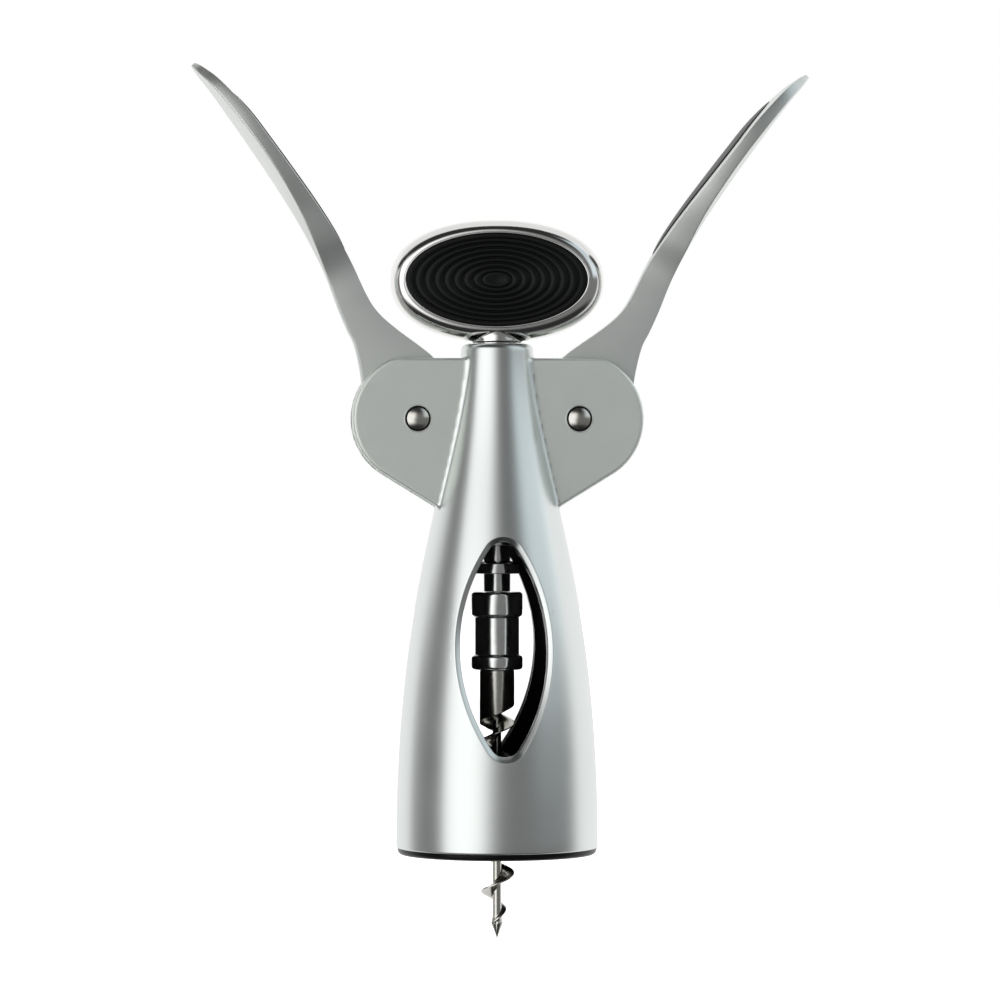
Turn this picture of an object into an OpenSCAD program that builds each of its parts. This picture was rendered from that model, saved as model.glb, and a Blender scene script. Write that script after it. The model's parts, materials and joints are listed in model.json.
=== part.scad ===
// Wing corkscrew: a bell-shaped body with a rack spindle and two geared wing levers.
// Front is -Y, +Z is up, and the origin is the centre of the base ring's underside.

/* [Bell] */
// Outer radius of the bell at its base
bell_r = 22.5; // [21.5:0.1:24]
// Height of the top of the neck
bell_h = 113.9; // [112.5:0.1:116]
// Outer radius of the neck at its top
neck_r = 7.95; // [7.9:0.05:8.6]
// Wall of the bell
bell_wall = 2.6; // [2.2:0.1:2.8]
// Radius that the lower half of the bell's side leans towards
side_pull_r = 22.8; // [22:0.1:24]
// Height at which the lower half of the side starts to turn in
side_pull_z = 61.3; // [57:0.1:65]
// Radius that the upper half of the side leans towards
neck_pull_r = 9.8; // [9.5:0.1:10.6]
// Depth below the neck's top at which the side straightens into the neck
neck_pull_drop = 33.4; // [30:0.1:36]
// Rounding of the neck's top edge
neck_round = 1.3; // [0.5:0.1:1.4]

/* [Window] */
// Half width of the lens-shaped window
window_w = 9.5; // [7.5:0.1:10]
// Half height of the window
window_h = 24.2; // [20:0.2:25]
// Height of the window's centre
window_z = 45.6; // [44:0.1:48]
// Radius of the window's two tips
window_tip_r = 2.6; // [1.5:0.1:3.5]

/* [Ears] */
// Distance of each wing pivot from the body's axis
pivot_x = 18.05; // [17.95:0.05:18.15]
// Depth of the wing pivots below the top of the neck
pivot_drop = 16.75; // [16.5:0.05:17]
// Radius of the rounded ear plates
ear_r = 14.5; // [13.5:0.1:15]
// Height of the flat top of the ears above the pivot
ear_top = 13.5; // [12.5:0.1:14]
// Thickness of one ear plate
ear_t = 1.8; // [1.4:0.1:2.4]
// Gap between the two plates of an ear
ear_gap = 5.6; // [5.4:0.1:6]
// Distance from the pivot down to the foot of the ear on the bell
ear_foot_drop = 19.6; // [17:0.1:20]

/* [Pivot pins] */
// Radius of the pin's shank
pin_r = 1.9; // [1.5:0.05:2.2]
// Radius of the domed pin head
pin_head_r = 2.48; // [2.4:0.02:3]
// Height of the dome above the ear plate
pin_head_h = 0.75; // [0.4:0.05:1.2]
// Radius of the dished seat around the head
pin_seat_r = 2.85; // [2.7:0.05:3.3]
// Depth of the dished seat
pin_seat_d = 0.4; // [0.2:0.05:0.8]

/* [Rack and gears] */
// Distance from one rack ring to the next
rack_pitch = 6.283; // [6.2:0.01:6.35]
// Radius over the rack rings
rack_r = 5.15; // [5.05:0.01:5.2]
// Radius of the spindle between the rings
rack_root_r = 2.95; // [2.7:0.05:3]
// Depth of the lowest ring's middle below the pivots, spindle down
rack_drop = 33.4; // [33.2:0.1:33.6]
// Number of rack rings
rack_rings = 7; // [7:1:7]
// Flank angle of the teeth, in degrees
flank_angle = 15; // [14:0.5:16]
// Teeth that a full gear circle would have
gear_teeth = 14; // [14:1:14]
// Outer radius of the gear teeth
gear_r = 14.6; // [14.4:0.05:14.7]
// Teeth on each wing's sector
sector_teeth = 7; // [7:1:7]
// Thickness of the gear and of the wing's root
gear_t = 5; // [4.6:0.1:5.2]
// Play between the teeth, measured along the pitch line
backlash = 0.55; // [0.5:0.05:0.7]
// How far the wings hang over within that play, in degrees
wing_play = 0.8; // [0:0.1:0.9]
// How far the spindle can be raised
travel = 34.2; // [30:0.1:34.4]

/* [Wings] */
// Height of the wings' tips above the pivots
wing_h = 78.2; // [76:0.1:81]
// Largest half width of the wing's thumb paddle
paddle_w = 10; // [9:0.1:11]
// Station of the wing at which the rubber pad starts, counted from the tip
pad_from = 2.5; // [2.3:0.1:2.9]
// Station at which the rubber pad ends
pad_to = 7.5; // [7:0.1:7.6]
// Largest half width of the rubber pad
wing_pad_w = 8.2; // [7:0.1:8.6]
// Bare metal left beside the pad
pad_margin = 1.4; // [1:0.1:2]
// Depth of the pad's seat in the paddle
pad_seat = 0.5; // [0.3:0.1:0.7]
// Height of the pad above the paddle
pad_proud = 0.35; // [0.3:0.05:0.8]

/* [Spindle] */
// Radius of the spigot that carries the spool and the worm
spigot_r = 2.3; // [2:0.1:2.5]
// Length of the spigot inside the worm's shank
spigot_h = 4.3; // [3.6:0.1:5]
// Depth of the spool's top below the middle of the lowest ring
spool_drop = 5.2; // [5:0.1:5.6]
// Height of the spool's thick upper collar
collar_h = 5.6; // [5:0.1:6.4]
// Radius of the upper collar
collar_r = 5.7; // [5.5:0.05:5.8]
// Height of the slim middle of the spool
sleeve_h = 8.5; // [7:0.1:9.5]
// Radius of the slim middle
sleeve_r = 5; // [4.6:0.05:5.2]
// Height of the thin lower collar
low_collar_h = 3.3; // [2.6:0.1:4]
// Rounding of the collars' edges
collar_round = 0.6; // [0.3:0.05:0.8]
// Running clearance between the spindle and what it turns in
run_gap = 0.07; // [0.05:0.01:0.09]

/* [Worm] */
// Outer radius of the worm and of its shank
worm_r = 3.9; // [3.6:0.05:4.1]
// Length of the worm's plain shank
shank_h = 10.4; // [9:0.1:12]
// Radius of the worm's core
core_r = 0.9; // [0.7:0.05:1.2]
// Rise of the worm's flight in one turn
worm_pitch = 8.4; // [7.6:0.1:9]
// Height of the worm's point below the base
worm_tip = 18.9; // [17:0.1:21]
// Height of the worm's conical point
point_h = 4.2; // [3:0.1:5]
// Radius of the top of the conical point
point_r = 1.3; // [1.1:0.05:1.6]
// Thickness of the flight at its outer edge
flight_edge = 0.35; // [0.25:0.05:0.6]
// Thickness of the flight at the core
flight_root = 1.5; // [1.1:0.1:2]

/* [Knob] */
// Half width of the oval knob
knob_w = 23.9; // [22:0.1:26]
// Half height of the knob
knob_h = 13.7; // [12.5:0.1:14]
// Height of the knob's centre above the top of the neck
knob_rise = 14.05; // [14.05:0.05:16]
// Half thickness of the knob
knob_t = 5.7; // [5.6:0.1:7]
// Squareness of the oval, where 2 is a true ellipse
knob_square = 2.2; // [2:0.05:2.6]
// Half width of the knob's rubber pads
knob_pad_w = 20.2; // [18:0.1:21]
// Half height of the knob's rubber pads
knob_pad_h = 10.35; // [9:0.05:10.6]
// How far the pads sit above the knob's centre
knob_pad_up = 0.1; // [0:0.05:0.5]
// Depth of the pads' seats
knob_pad_seat = 1.1; // [0.8:0.1:1.3]
// Height of the pads above the rim's edge
knob_pad_proud = 0.35; // [0.2:0.05:0.8]
// Gap between the neck's top and the boss under the knob
knob_gap = 0.2; // [0.1:0.05:0.3]
// Radius of the boss under the knob
boss_r = 5.5; // [5.2:0.1:5.6]
// Radius of the spindle's head inside the boss
socket_r = 3.8; // [3.4:0.1:4]
// Depth of the spindle's head in the knob
socket_d = 11; // [9:0.5:13]
// How far the knob is turned about the spindle, in degrees
knob_turn = -5.5; // [-90:0.5:90]
// Radius of the cross pin in the knob
knob_pin_r = 1.25; // [1:0.05:1.5]
// Radius of the cross pin in the worm's shank
worm_pin_r = 0.8; // [0.6:0.05:1]

/* [Bottle guide] */
// Height of the black ring that shows below the bell
ring_h = 1.4; // [1:0.1:2]
// Radius of the socket that takes the bottle's neck
bottle_r = 15.75; // [15:0.05:16]
// Depth of the bottle socket
bottle_depth = 18.8; // [16:0.1:19]
// Radius of the hole that the cork is drawn through
cork_r = 13; // [12.5:0.1:13.5]
// Wall of the guide
guide_wall = 1.4; // [1.2:0.1:1.8]
// Height of the guide's top inside the bell
guide_top = 75.5; // [73:0.5:78]
// Clearance between the guide and the bell
guide_gap = 0.1; // [0.05:0.05:0.2]
// Outer radius of the bush in the neck
bush_r = 6.4; // [6.2:0.05:6.6]
// Height of the bush
bush_h = 5.2; // [4.5:0.1:5.6]

/* [Hidden] */

$fn = 72;

STEEL = "silver";
DARK_STEEL = "dimgray";
CHROME = "gainsboro";
RUBBER = "black";
PLASTIC = "darkslategray";

eps = 0.01;
rim_edge = 0.5;    // metal edge that frames the knob's pads
pad_gap = 0.05;    // gap round the knob's pads in their seats
boss_drop = 2.5;   // how far the boss ends below the top of the spindle's socket
knob_pin_up = 7.6; // height of the cross pin above the boss's foot
pin_short = 0.2;   // how far the cross pins end below the surface
roof_gap = 0.6;    // space left between the raised spool and the cavity's roof
liner_gap = 0.3;   // how far the guide's windows stand back from the bell's
over = 1;          // how far a cutting solid runs past the face that it opens

neck_pull_z = bell_h - neck_pull_drop;
pivot_z = bell_h - pivot_drop;
rack_ring_z = pivot_z - rack_drop;             // middle of the lowest ring
spool_top = rack_ring_z - spool_drop;
knob_z = bell_h + knob_rise;
head_foot_z = bell_h + knob_gap;               // underside of the knob's boss
guide_bore_r = rack_r + 0.15;                  // bore of the neck below the bush
gear_pitch_r = rack_pitch * gear_teeth / (2 * PI);
gear_base_r = gear_pitch_r * cos(flank_angle);
gear_root_r = pivot_x - rack_r - 0.2;
rack_pitch_r = pivot_x - gear_pitch_r;
tooth_w = (rack_pitch - backlash) / 2;         // tooth thickness on the pitch line
ear_y = ear_gap / 2 + ear_t;                   // outer face of an ear plate
slot_r = gear_r + 0.5;                         // clearance round the gear in the bell's wall
roof_z = spool_top + travel + roof_gap;        // roof of the bell's cavity
spool_foot = spool_top - collar_h - sleeve_h - low_collar_h;
shank_top = spool_foot - run_gap;
spigot_foot = shank_top - spigot_h;
worm_pin_z = shank_top - spigot_h / 2;
knob_pin_z = head_foot_z + knob_pin_up;

// ---- shared geometry ----

// A point of a cubic Bezier curve
function bezier(p, t) =
    pow(1 - t, 3) * p[0] + 3 * pow(1 - t, 2) * t * p[1]
    + 3 * (1 - t) * t * t * p[2] + pow(t, 3) * p[3];

bell_curve = [
    [bell_r, 0], [side_pull_r, side_pull_z], [neck_pull_r, neck_pull_z], [neck_r, bell_h]
];

// Curve parameter at a height, found by halving the interval
function bell_t(z, low = 0, high = 1, steps = 22) =
    let (mid = (low + high) / 2)
    steps == 0 ? mid
    : bezier(bell_curve, mid)[1] < z
        ? bell_t(z, mid, high, steps - 1)
        : bell_t(z, low, mid, steps - 1);

function bell_radius(z) = bezier(bell_curve, bell_t(z))[0];

// The bell's side between two heights, drawn in by an offset
function bell_side(low, high, inset, count) =
    [for (i = [0:count])
        let (z = low + (high - low) * i / count)
        [bell_radius(z) - inset, z]];

function arc(centre, radius, from, to, count) =
    [for (i = [0:count])
        let (a = from + (to - from) * i / count)
        centre + radius * [cos(a), sin(a)]];

// A point between the rows of a table of stations, on a Catmull-Rom curve
function row_at(rows, u) =
    let (
        last = len(rows) - 1,
        i = min(floor(u), last - 1),
        t = u - i,
        a = rows[max(i - 1, 0)],
        b = rows[i],
        c = rows[i + 1],
        d = rows[min(i + 2, last)]
    )
    0.5 * (2 * b + (c - a) * t + (2 * a - 5 * b + 4 * c - d) * t * t
        + (3 * b - a - 3 * c + d) * t * t * t);

// A closed solid through rings of points, each with the same even number of points
// and each running clockwise as seen from the last ring
module skin(rings) {
    n = len(rings);
    m = len(rings[0]);
    points = [for (ring = rings) for (p = ring) p];
    end = (n - 1) * m;
    sides = [for (i = [0:n - 2]) for (j = [0:m - 1])
        let (a = i * m + j, b = i * m + (j + 1) % m)
        each [[a, b, a + m], [b, b + m, a + m]]];
    first_cap = [for (j = [0:m / 2 - 2])
        each [[j, m - 1 - j, j + 1], [j + 1, m - 1 - j, m - 2 - j]]];
    last_cap = [for (j = [0:m / 2 - 2])
        each [
            [end + j, end + j + 1, end + m - 1 - j],
            [end + j + 1, end + m - 2 - j, end + m - 1 - j]
        ]];
    polyhedron(points, concat(sides, first_cap, last_cap), convexity = 6);
}

// Draws a flat shape in the X-Z plane, centred on the X axis' plane
module upright(thickness) {
    rotate([90, 0, 0])
        linear_extrude(thickness, center = true)
            children();
}

// A round bar along Y, centred
module cross_bar(radius, length) {
    rotate([90, 0, 0])
        cylinder(r = radius, h = length, center = true);
}

// ---- body ----

// A lens with rounded tips, as a bar along Y that opens the front and the back
module window_bar(grow) {
    half_w = window_w + grow;
    tip_r = window_tip_r + grow;
    tip_z = window_h - window_tip_r;
    side_r = (pow(half_w, 2) + pow(tip_z, 2) - pow(tip_r, 2)) / (2 * (half_w - tip_r));
    turn = asin(tip_z / (side_r - tip_r)); // angle at which a side arc meets a tip arc
    quarter = concat(
        arc([half_w - side_r, 0], side_r, 0, turn, 6),
        arc([0, tip_z], tip_r, turn + 12, 90, 4)
    );
    count = len(quarter);
    translate([0, 0, window_z])
        upright(2 * bell_r + 2 * over)
            polygon(concat(
                quarter,
                [for (i = [count - 2:-1:0]) [-quarter[i][0], quarter[i][1]]],
                [for (i = [1:count - 1]) [-quarter[i][0], -quarter[i][1]]],
                [for (i = [count - 2:-1:1]) [quarter[i][0], -quarter[i][1]]]
            ));
}

// Outline of one ear round its pivot: rounded, flat on top, and run down to the bell
module ear_outline() {
    foot_x = pivot_x - bell_radius(pivot_z - ear_foot_drop);
    reach = sqrt(pow(foot_x, 2) + pow(ear_foot_drop, 2));
    touch = atan2(-ear_foot_drop, foot_x) - acos(ear_r / reach);
    intersection() {
        union() {
            circle(r = ear_r);
            polygon([
                [0, 0],
                ear_r * [cos(touch), sin(touch)],
                [foot_x, -ear_foot_drop],
                [pivot_x - neck_r + bell_wall, -ear_foot_drop + 8],
                [pivot_x - neck_r + bell_wall, ear_top + 2],
                [0, ear_top + 2]
            ]);
        }
        translate([-2 * ear_r, -2 * ear_r])
            square([4 * ear_r, 2 * ear_r + ear_top]);
    }
}

module ear_plates() {
    for (side = [0, 1])
        mirror([side, 0, 0])
            translate([-pivot_x, 0, pivot_z])
                difference() {
                    upright(2 * ear_y) ear_outline();
                    cube([4 * ear_r, ear_gap, 5 * ear_r], center = true);
                }
}

// The bell's cavity, with the guide bore and the bush's seat above its roof
module bell_cavity() {
    rotate_extrude()
        polygon(concat(
            [[0, ring_h - over], [bell_r - bell_wall, ring_h - over]],
            bell_side(ring_h, roof_z - 3, bell_wall, 18),
            [
                [guide_bore_r, roof_z],
                [guide_bore_r, bell_h - bush_h],
                [bush_r, bell_h - bush_h],
                [bush_r, bell_h + over],
                [0, bell_h + over]
            ]
        ));
}

module pin_hole() {
    cross_bar(pin_r, 4 * ear_y);
    for (side = [-1, 1])
        translate([0, side * (ear_y - pin_seat_d + over), 0])
            cross_bar(pin_seat_r, 2 * over);
}

module bell_casting() {
    color(STEEL)
    difference() {
        union() {
            rotate_extrude()
                polygon(concat(
                    [[0, ring_h]],
                    bell_side(ring_h, bell_h - neck_round, 0, 22),
                    arc([neck_r - neck_round, bell_h - neck_round], neck_round, 15, 90, 4),
                    [[0, bell_h]]
                ));
            ear_plates();
        }
        bell_cavity();
        window_bar(0);
        for (side = [-1, 1])
            translate([side * pivot_x, 0, pivot_z]) {
                cross_bar(slot_r, ear_gap);
                pin_hole();
            }
    }
}

module guide_rib() {
    translate([bottle_r + guide_wall / 2, -guide_wall / 2, ring_h])
        cube([bell_r - bell_wall - bottle_r - guide_wall, guide_wall, bottle_depth - ring_h + eps]);
}

module bottle_guide() {
    skin_inset = bell_wall + guide_gap;
    ledge_top = bottle_depth + guide_wall;
    foot_r = bell_r - bell_wall - guide_gap - guide_wall;
    color(PLASTIC)
    difference() {
        union() {
            // the skin that lines the bell
            rotate_extrude()
                polygon(concat(
                    bell_side(ring_h, guide_top, skin_inset, 14),
                    bell_side(guide_top, ring_h, skin_inset + guide_wall, 14)
                ));
            // the ring that shows below the bell
            rotate_extrude()
                polygon(concat(
                    [[foot_r, 0]],
                    arc([bell_r - 1.3, 1], 1, -90, -5, 5),
                    [[bell_r - 0.2, ring_h], [foot_r, ring_h + eps]]
                ));
            // the bottle socket, with the ledge that the bottle's lip meets
            rotate_extrude()
                polygon([
                    [bottle_r, 0], [bottle_r + guide_wall, 0],
                    [bottle_r + guide_wall, bottle_depth],
                    [bell_radius(bottle_depth) - skin_inset - guide_wall / 2, bottle_depth],
                    [bell_radius(ledge_top) - skin_inset - guide_wall / 2, ledge_top],
                    [cork_r, ledge_top], [cork_r, bottle_depth], [bottle_r, bottle_depth]
                ]);
            for (i = [0:5])
                rotate([0, 0, 30 + 60 * i])
                    guide_rib();
        }
        window_bar(liner_gap);
    }
}

module neck_bush() {
    color(PLASTIC)
    translate([0, 0, bell_h - bush_h])
        difference() {
            cylinder(r = bush_r, h = bush_h - 0.2);
            translate([0, 0, -over])
                cylinder(r = rack_r + run_gap, h = bush_h + 2 * over);
        }
}

// A domed head, drawn as a cap of a sphere on the end of the shank
module pin_dome() {
    dome_h = pin_head_h + pin_seat_d;
    sphere_r = (pow(pin_head_r, 2) + pow(dome_h, 2)) / (2 * dome_h);
    side = asin(pin_head_r / sphere_r);
    rotate_extrude()
        polygon(concat([[0, 0]], arc([0, dome_h - sphere_r], sphere_r, 90 - side, 90, 8)));
}

module pivot_pin(side) {
    seat_y = ear_y - pin_seat_d;
    color(CHROME)
    translate([side * pivot_x, 0, pivot_z]) {
        cross_bar(pin_r, 2 * seat_y + eps);
        for (end = [-90, 90])
            rotate([end, 0, 0])
                translate([0, 0, seat_y])
                    pin_dome();
    }
}

module pivot_pin_left() pivot_pin(-1);
module pivot_pin_right() pivot_pin(1);

// ---- wings ----

// Stations of the left wing, from its tip to its gear, measured from the pivot:
// inner face x, z, outer face x, z, half width as a share of the widest, inner crown, outer crown
wing_stations = [
    [-50.5, 78.2, -51.2, 77.5, 0.14, 0, 0],
    [-48.6, 77.0, -49.7, 75.8, 0.36, 0.15, 0.3],
    [-44.8, 73.8, -46.3, 72.3, 0.69, 0.4, 0.7],
    [-38.8, 67.3, -40.8, 65.7, 0.93, 0.65, 1.2],
    [-33.8, 60.8, -35.9, 59.4, 1, 0.75, 1.5],
    [-28.8, 54.2, -31.2, 52.6, 0.95, 0.75, 1.5],
    [-23.8, 47.6, -27.0, 45.6, 0.77, 0.65, 1.2],
    [-19.1, 40.9, -23.6, 38.4, 0.6, 0.4, 0.5],
    [-15.1, 34.3, -20.6, 31.5, 0.28, 0.1, 0.1],
    [-11.8, 27.6, -17.9, 24.5, 0, 0, 0],
    [ -9.3, 23.8, -15.8, 19.7, 0, 0, 0],
    [ -5.4, 20.3, -14.1, 16.2, 0, 0, 0],
    [  2.8, 14.3, -12.8, 10.8, 0, 0, 0],
    [  6.2, 10.4, -11.8,  4.0, 0, 0, 0]
];

wing_scale = wing_h / wing_stations[0][1];

// Lengths of the wing at a station, with its half width left as a share
function station(u) =
    let (row = row_at(wing_stations, u))
    [for (i = [0:6]) i == 4 ? row[i] : row[i] * wing_scale];

// The wing is nowhere thinner than its gear, except towards its tip
function station_w(s) = max(s[4] * paddle_w, s[1] > wing_h / 2 ? 0 : gear_t / 2);
function inner_point(s) = [s[0], s[1]];
function outer_point(s) = [s[2], s[3]];
function face_normal(s) =
    let (d = inner_point(s) - outer_point(s))
    d / norm(d);

// A point on the crowned inner face, at a share of the half width, raised by a height
function on_inner(s, share, width, lift) =
    let (
        y = share * width,
        crown = s[5] * (1 - pow(y / station_w(s), 2)),
        p = inner_point(s) + face_normal(s) * (crown + lift)
    )
    [p[0], y, p[1]];

function on_outer(s, share) =
    let (p = outer_point(s) - face_normal(s) * s[6] * (1 - share * share))
    [p[0], share * station_w(s), p[1]];

crown_steps = [-1, -0.6, -0.2, 0.2, 0.6, 1];

function wing_ring(u) =
    let (s = station(u))
    concat(
        [for (share = crown_steps) on_inner(s, share, station_w(s), 0)],
        [for (share = crown_steps) on_outer(s, -share)]
    );

// The pad's half width at a station: an oval that keeps clear of the paddle's edge
function pad_w(u) =
    let (v = (2 * u - pad_from - pad_to) / (pad_to - pad_from))
    max(0.4, min(
        wing_pad_w * sqrt(max(0, 1 - v * v)),
        station_w(station(u)) - pad_margin
    ));

function pad_ring(u) =
    let (s = station(u))
    concat(
        [for (share = crown_steps) on_inner(s, share, pad_w(u), pad_proud)],
        [for (share = crown_steps) on_inner(s, -share, pad_w(u), -pad_seat)]
    );

module pad_blank() {
    steps = 20;
    skin([for (i = [0:steps]) pad_ring(pad_from + (pad_to - pad_from) * i / steps)]);
}

// Involute of a circle, in degrees, at a pressure angle
function involute(angle) = tan(angle) * 180 / PI - angle;

// Half the angle that a gear tooth covers at a radius
function tooth_half(r) =
    tooth_w / 2 / gear_pitch_r * 180 / PI + involute(flank_angle)
    - involute(acos(min(1, gear_base_r / r)));

module gear_tooth() {
    steps = 4;
    radii = concat(
        [gear_root_r - 1],
        [for (i = [0:steps]) gear_base_r + (gear_r - gear_base_r) * i / steps]
    );
    last = len(radii) - 1;
    polygon(concat(
        [for (r = radii) r * [cos(tooth_half(r)), -sin(tooth_half(r))]],
        [for (i = [last:-1:0]) radii[i] * [cos(tooth_half(radii[i])), sin(tooth_half(radii[i]))]]
    ));
}

// The angle at which a tooth stands in the rack's gap nearest the pivot's height
mesh_gap = rack_ring_z + (floor((pivot_z - rack_ring_z) / rack_pitch) + 0.5) * rack_pitch;
mesh_angle = (mesh_gap - pivot_z) / gear_pitch_r * 180 / PI;

module gear_sector() {
    upright(gear_t) {
        circle(r = gear_root_r);
        for (i = [0:sector_teeth - 1])
            rotate(mesh_angle - i * 360 / gear_teeth)
                gear_tooth();
    }
}

module wing_blank() {
    steps = 3;
    difference() {
        union() {
            skin([for (i = [0:steps * (len(wing_stations) - 1)]) wing_ring(i / steps)]);
            gear_sector();
        }
        cross_bar(pin_r + run_gap / 2, 2 * gear_t);
        pad_blank();
    }
}

// Places a piece of the left wing at its pivot, or its mirror image on the right
module on_wing(side) {
    translate([side * pivot_x, 0, pivot_z])
        rotate([0, wing_play, 0])
            mirror([side > 0 ? 1 : 0, 0, 0])
                children();
}

module lever_left() color(STEEL) on_wing(-1) wing_blank();
module lever_right() color(STEEL) on_wing(1) wing_blank();
module lever_pad_left() color(RUBBER) on_wing(-1) pad_blank();
module lever_pad_right() color(RUBBER) on_wing(1) pad_blank();

// ---- spindle ----

module stop_spool() {
    c = collar_round;
    low_r = collar_r + 0.05;
    mid_top = spool_top - collar_h;
    mid_foot = mid_top - sleeve_h;
    color(DARK_STEEL)
    difference() {
        rotate_extrude()
            polygon(concat(
                [[0, spool_foot]],
                arc([low_r - c, spool_foot + c], c, -90, 0, 4),
                arc([low_r - c, mid_foot - c], c, 0, 90, 4),
                [[sleeve_r, mid_foot], [sleeve_r, mid_top]],
                arc([collar_r - c, mid_top + c], c, -90, 0, 4),
                arc([collar_r - c, spool_top - c], c, 0, 90, 4),
                [[0, spool_top]]
            ));
        translate([0, 0, spool_foot - over])
            cylinder(r = spigot_r + run_gap, h = spool_top - spool_foot + 2 * over);
    }
}

// Half heights of a rack ring at its edge and at the rod
ring_edge = tooth_w / 2 - (rack_r - rack_pitch_r) * tan(flank_angle);
ring_foot = tooth_w / 2 + (rack_pitch_r - rack_root_r) * tan(flank_angle);

// Half profile of one rack ring round its middle height
function ring_profile(z) = [
    [rack_root_r, z - ring_foot], [rack_r, z - ring_edge],
    [rack_r, z + ring_edge], [rack_root_r, z + ring_foot]
];

module rack_spindle() {
    head_z = rack_ring_z + rack_rings * rack_pitch;
    low_ring = ring_profile(rack_ring_z);
    low_face = rack_ring_z - ring_edge; // the lowest ring has a square lower face
    shoulder = spool_top + run_gap;
    color(DARK_STEEL)
    difference() {
        rotate_extrude()
            polygon(concat(
                [[0, spigot_foot], [spigot_r, spigot_foot], [spigot_r, shoulder]],
                [[rack_root_r, shoulder]],
                [[rack_root_r, low_face], [rack_r, low_face], low_ring[2], low_ring[3]],
                [for (i = [1:rack_rings - 1]) each ring_profile(rack_ring_z + i * rack_pitch)],
                [[rack_root_r, head_z - ring_foot], [rack_r, head_z - ring_edge]],
                [[rack_r, head_foot_z - run_gap], [socket_r, head_foot_z - run_gap]],
                [[socket_r, head_foot_z + socket_d], [0, head_foot_z + socket_d]]
            ));
        knob_pin_bar(4 * socket_r);
        translate([0, 0, worm_pin_z])
            rotate([0, 0, 90])
                cross_bar(worm_pin_r, 4 * spigot_r);
    }
}

// Outline of the worm at one height: the core with the flight's fin on one side
function worm_outline(grow, core) =
    let (
        crest = core + (worm_r - 0.05 - core_r) * grow,
        edge = 180 * flight_edge / worm_pitch,
        foot = 180 * flight_root / worm_pitch,
        mid = (crest + core) / 2
    )
    concat(
        [[crest, edge], [mid, (edge + foot) / 2.2], [core, foot]],
        [for (i = [1:6]) [core, foot + (360 - 2 * foot) * i / 7]],
        [[core, -foot], [mid, -(edge + foot) / 2.2], [crest, -edge]]
    );

// The worm below its shank: the outline turned down its helix and drawn in to the point
module twisted_worm() {
    top = shank_top - shank_h + 0.8;
    foot = -worm_tip + point_h;
    per_turn = 16;
    count = ceil((top - foot) / worm_pitch * per_turn);
    crest_z = -4.2; // height at which the flight stands on the +X side
    levels = concat(
        [for (i = [count:-1:1])
            let (z = foot + (top - foot) * i / count)
            [z, min(1, (z - foot) / worm_pitch / 0.95), core_r + (point_r - core_r) * max(0, 1 - i / 4)]],
        [[foot, 0, point_r], [-worm_tip, 0, 0.05]]
    );
    skin([for (level = levels)
        let (a = 360 * (level[0] - crest_z) / worm_pitch)
        [for (p = worm_outline(level[1], level[2]))
            [p[0] * cos(a + p[1]), p[0] * sin(a + p[1]), level[0]]]]);
}

module worm() {
    color(CHROME)
    difference() {
        union() {
            translate([0, 0, shank_top - shank_h])
                cylinder(r = worm_r, h = shank_h);
            twisted_worm();
        }
        translate([0, 0, spigot_foot])
            cylinder(r = spigot_r, h = shank_h);
        translate([0, 0, worm_pin_z])
            rotate([0, 0, 90])
                cross_bar(worm_pin_r, 4 * worm_r);
    }
}

module worm_pin() {
    color(CHROME)
    translate([0, 0, worm_pin_z])
        rotate([0, 0, 90])
            cross_bar(worm_pin_r, 2 * (worm_r - pin_short));
}

// ---- knob ----

function signed_power(v, p) = sign(v) * pow(abs(v), p);

// An oval in the X-Z plane with half sizes a and b, at a depth and a height
function oval(a, b, power, y, z, count = 48) =
    [for (i = [0:count - 1])
        let (t = 360 * i / count)
        [a * signed_power(cos(t), 2 / power), y, z + b * signed_power(sin(t), 2 / power)]];

module knob_blank() {
    face_w = knob_pad_w + rim_edge;
    face_h = knob_pad_h + rim_edge;
    steps = 12;
    skin([for (i = [0:steps])
        let (
            a = -90 + 180 * i / steps,
            bulge = max(0.02, cos(a)),
            lift = knob_pad_up * (1 - bulge)
        )
        oval(
            face_w + (knob_w - face_w) * bulge, face_h + (knob_h - face_h) * bulge,
            2 + (knob_square - 2) * bulge, knob_t * sin(a), knob_z + lift
        )]);
}

// The oval prism of one knob pad or of its seat, on the front (-1) or the back (1)
module knob_pad_prism(side, grow, top) {
    foot = knob_t - knob_pad_seat;
    points = oval(knob_pad_w + grow, knob_pad_h + grow, 2, 0, knob_z + knob_pad_up);
    translate([0, side * (foot + top) / 2, 0])
        upright(top - foot)
            polygon([for (p = points) [p[0], p[2]]]);
}

// Turns a piece of the knob about the spindle
module turned() {
    rotate([0, 0, knob_turn])
        children();
}

module knob_pin_bar(length) {
    translate([0, 0, knob_pin_z])
        turned() cross_bar(knob_pin_r, length);
}

module knob_body() {
    color(CHROME)
    difference() {
        union() {
            turned() knob_blank();
            translate([0, 0, head_foot_z])
                cylinder(r = boss_r, h = socket_d - boss_drop);
        }
        translate([0, 0, head_foot_z - over])
            cylinder(r = socket_r, h = socket_d + over);
        for (side = [-1, 1])
            turned() knob_pad_prism(side, 0, knob_t + over);
        knob_pin_bar(4 * knob_t);
    }
}

module knob_pad(side) {
    color(RUBBER)
    turned() knob_pad_prism(side, -pad_gap, knob_t + knob_pad_proud);
}

module knob_pad_front() knob_pad(-1);
module knob_pad_back() knob_pad(1);

module knob_pin() {
    color(CHROME)
    knob_pin_bar(2 * (knob_t - knob_pad_seat - pin_short));
}

bell_casting();
bottle_guide();
neck_bush();
pivot_pin_left();
pivot_pin_right();
lever_left();
lever_right();
lever_pad_left();
lever_pad_right();
stop_spool();
rack_spindle();
worm();
worm_pin();
knob_body();
knob_pad_front();
knob_pad_back();
knob_pin();
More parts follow.
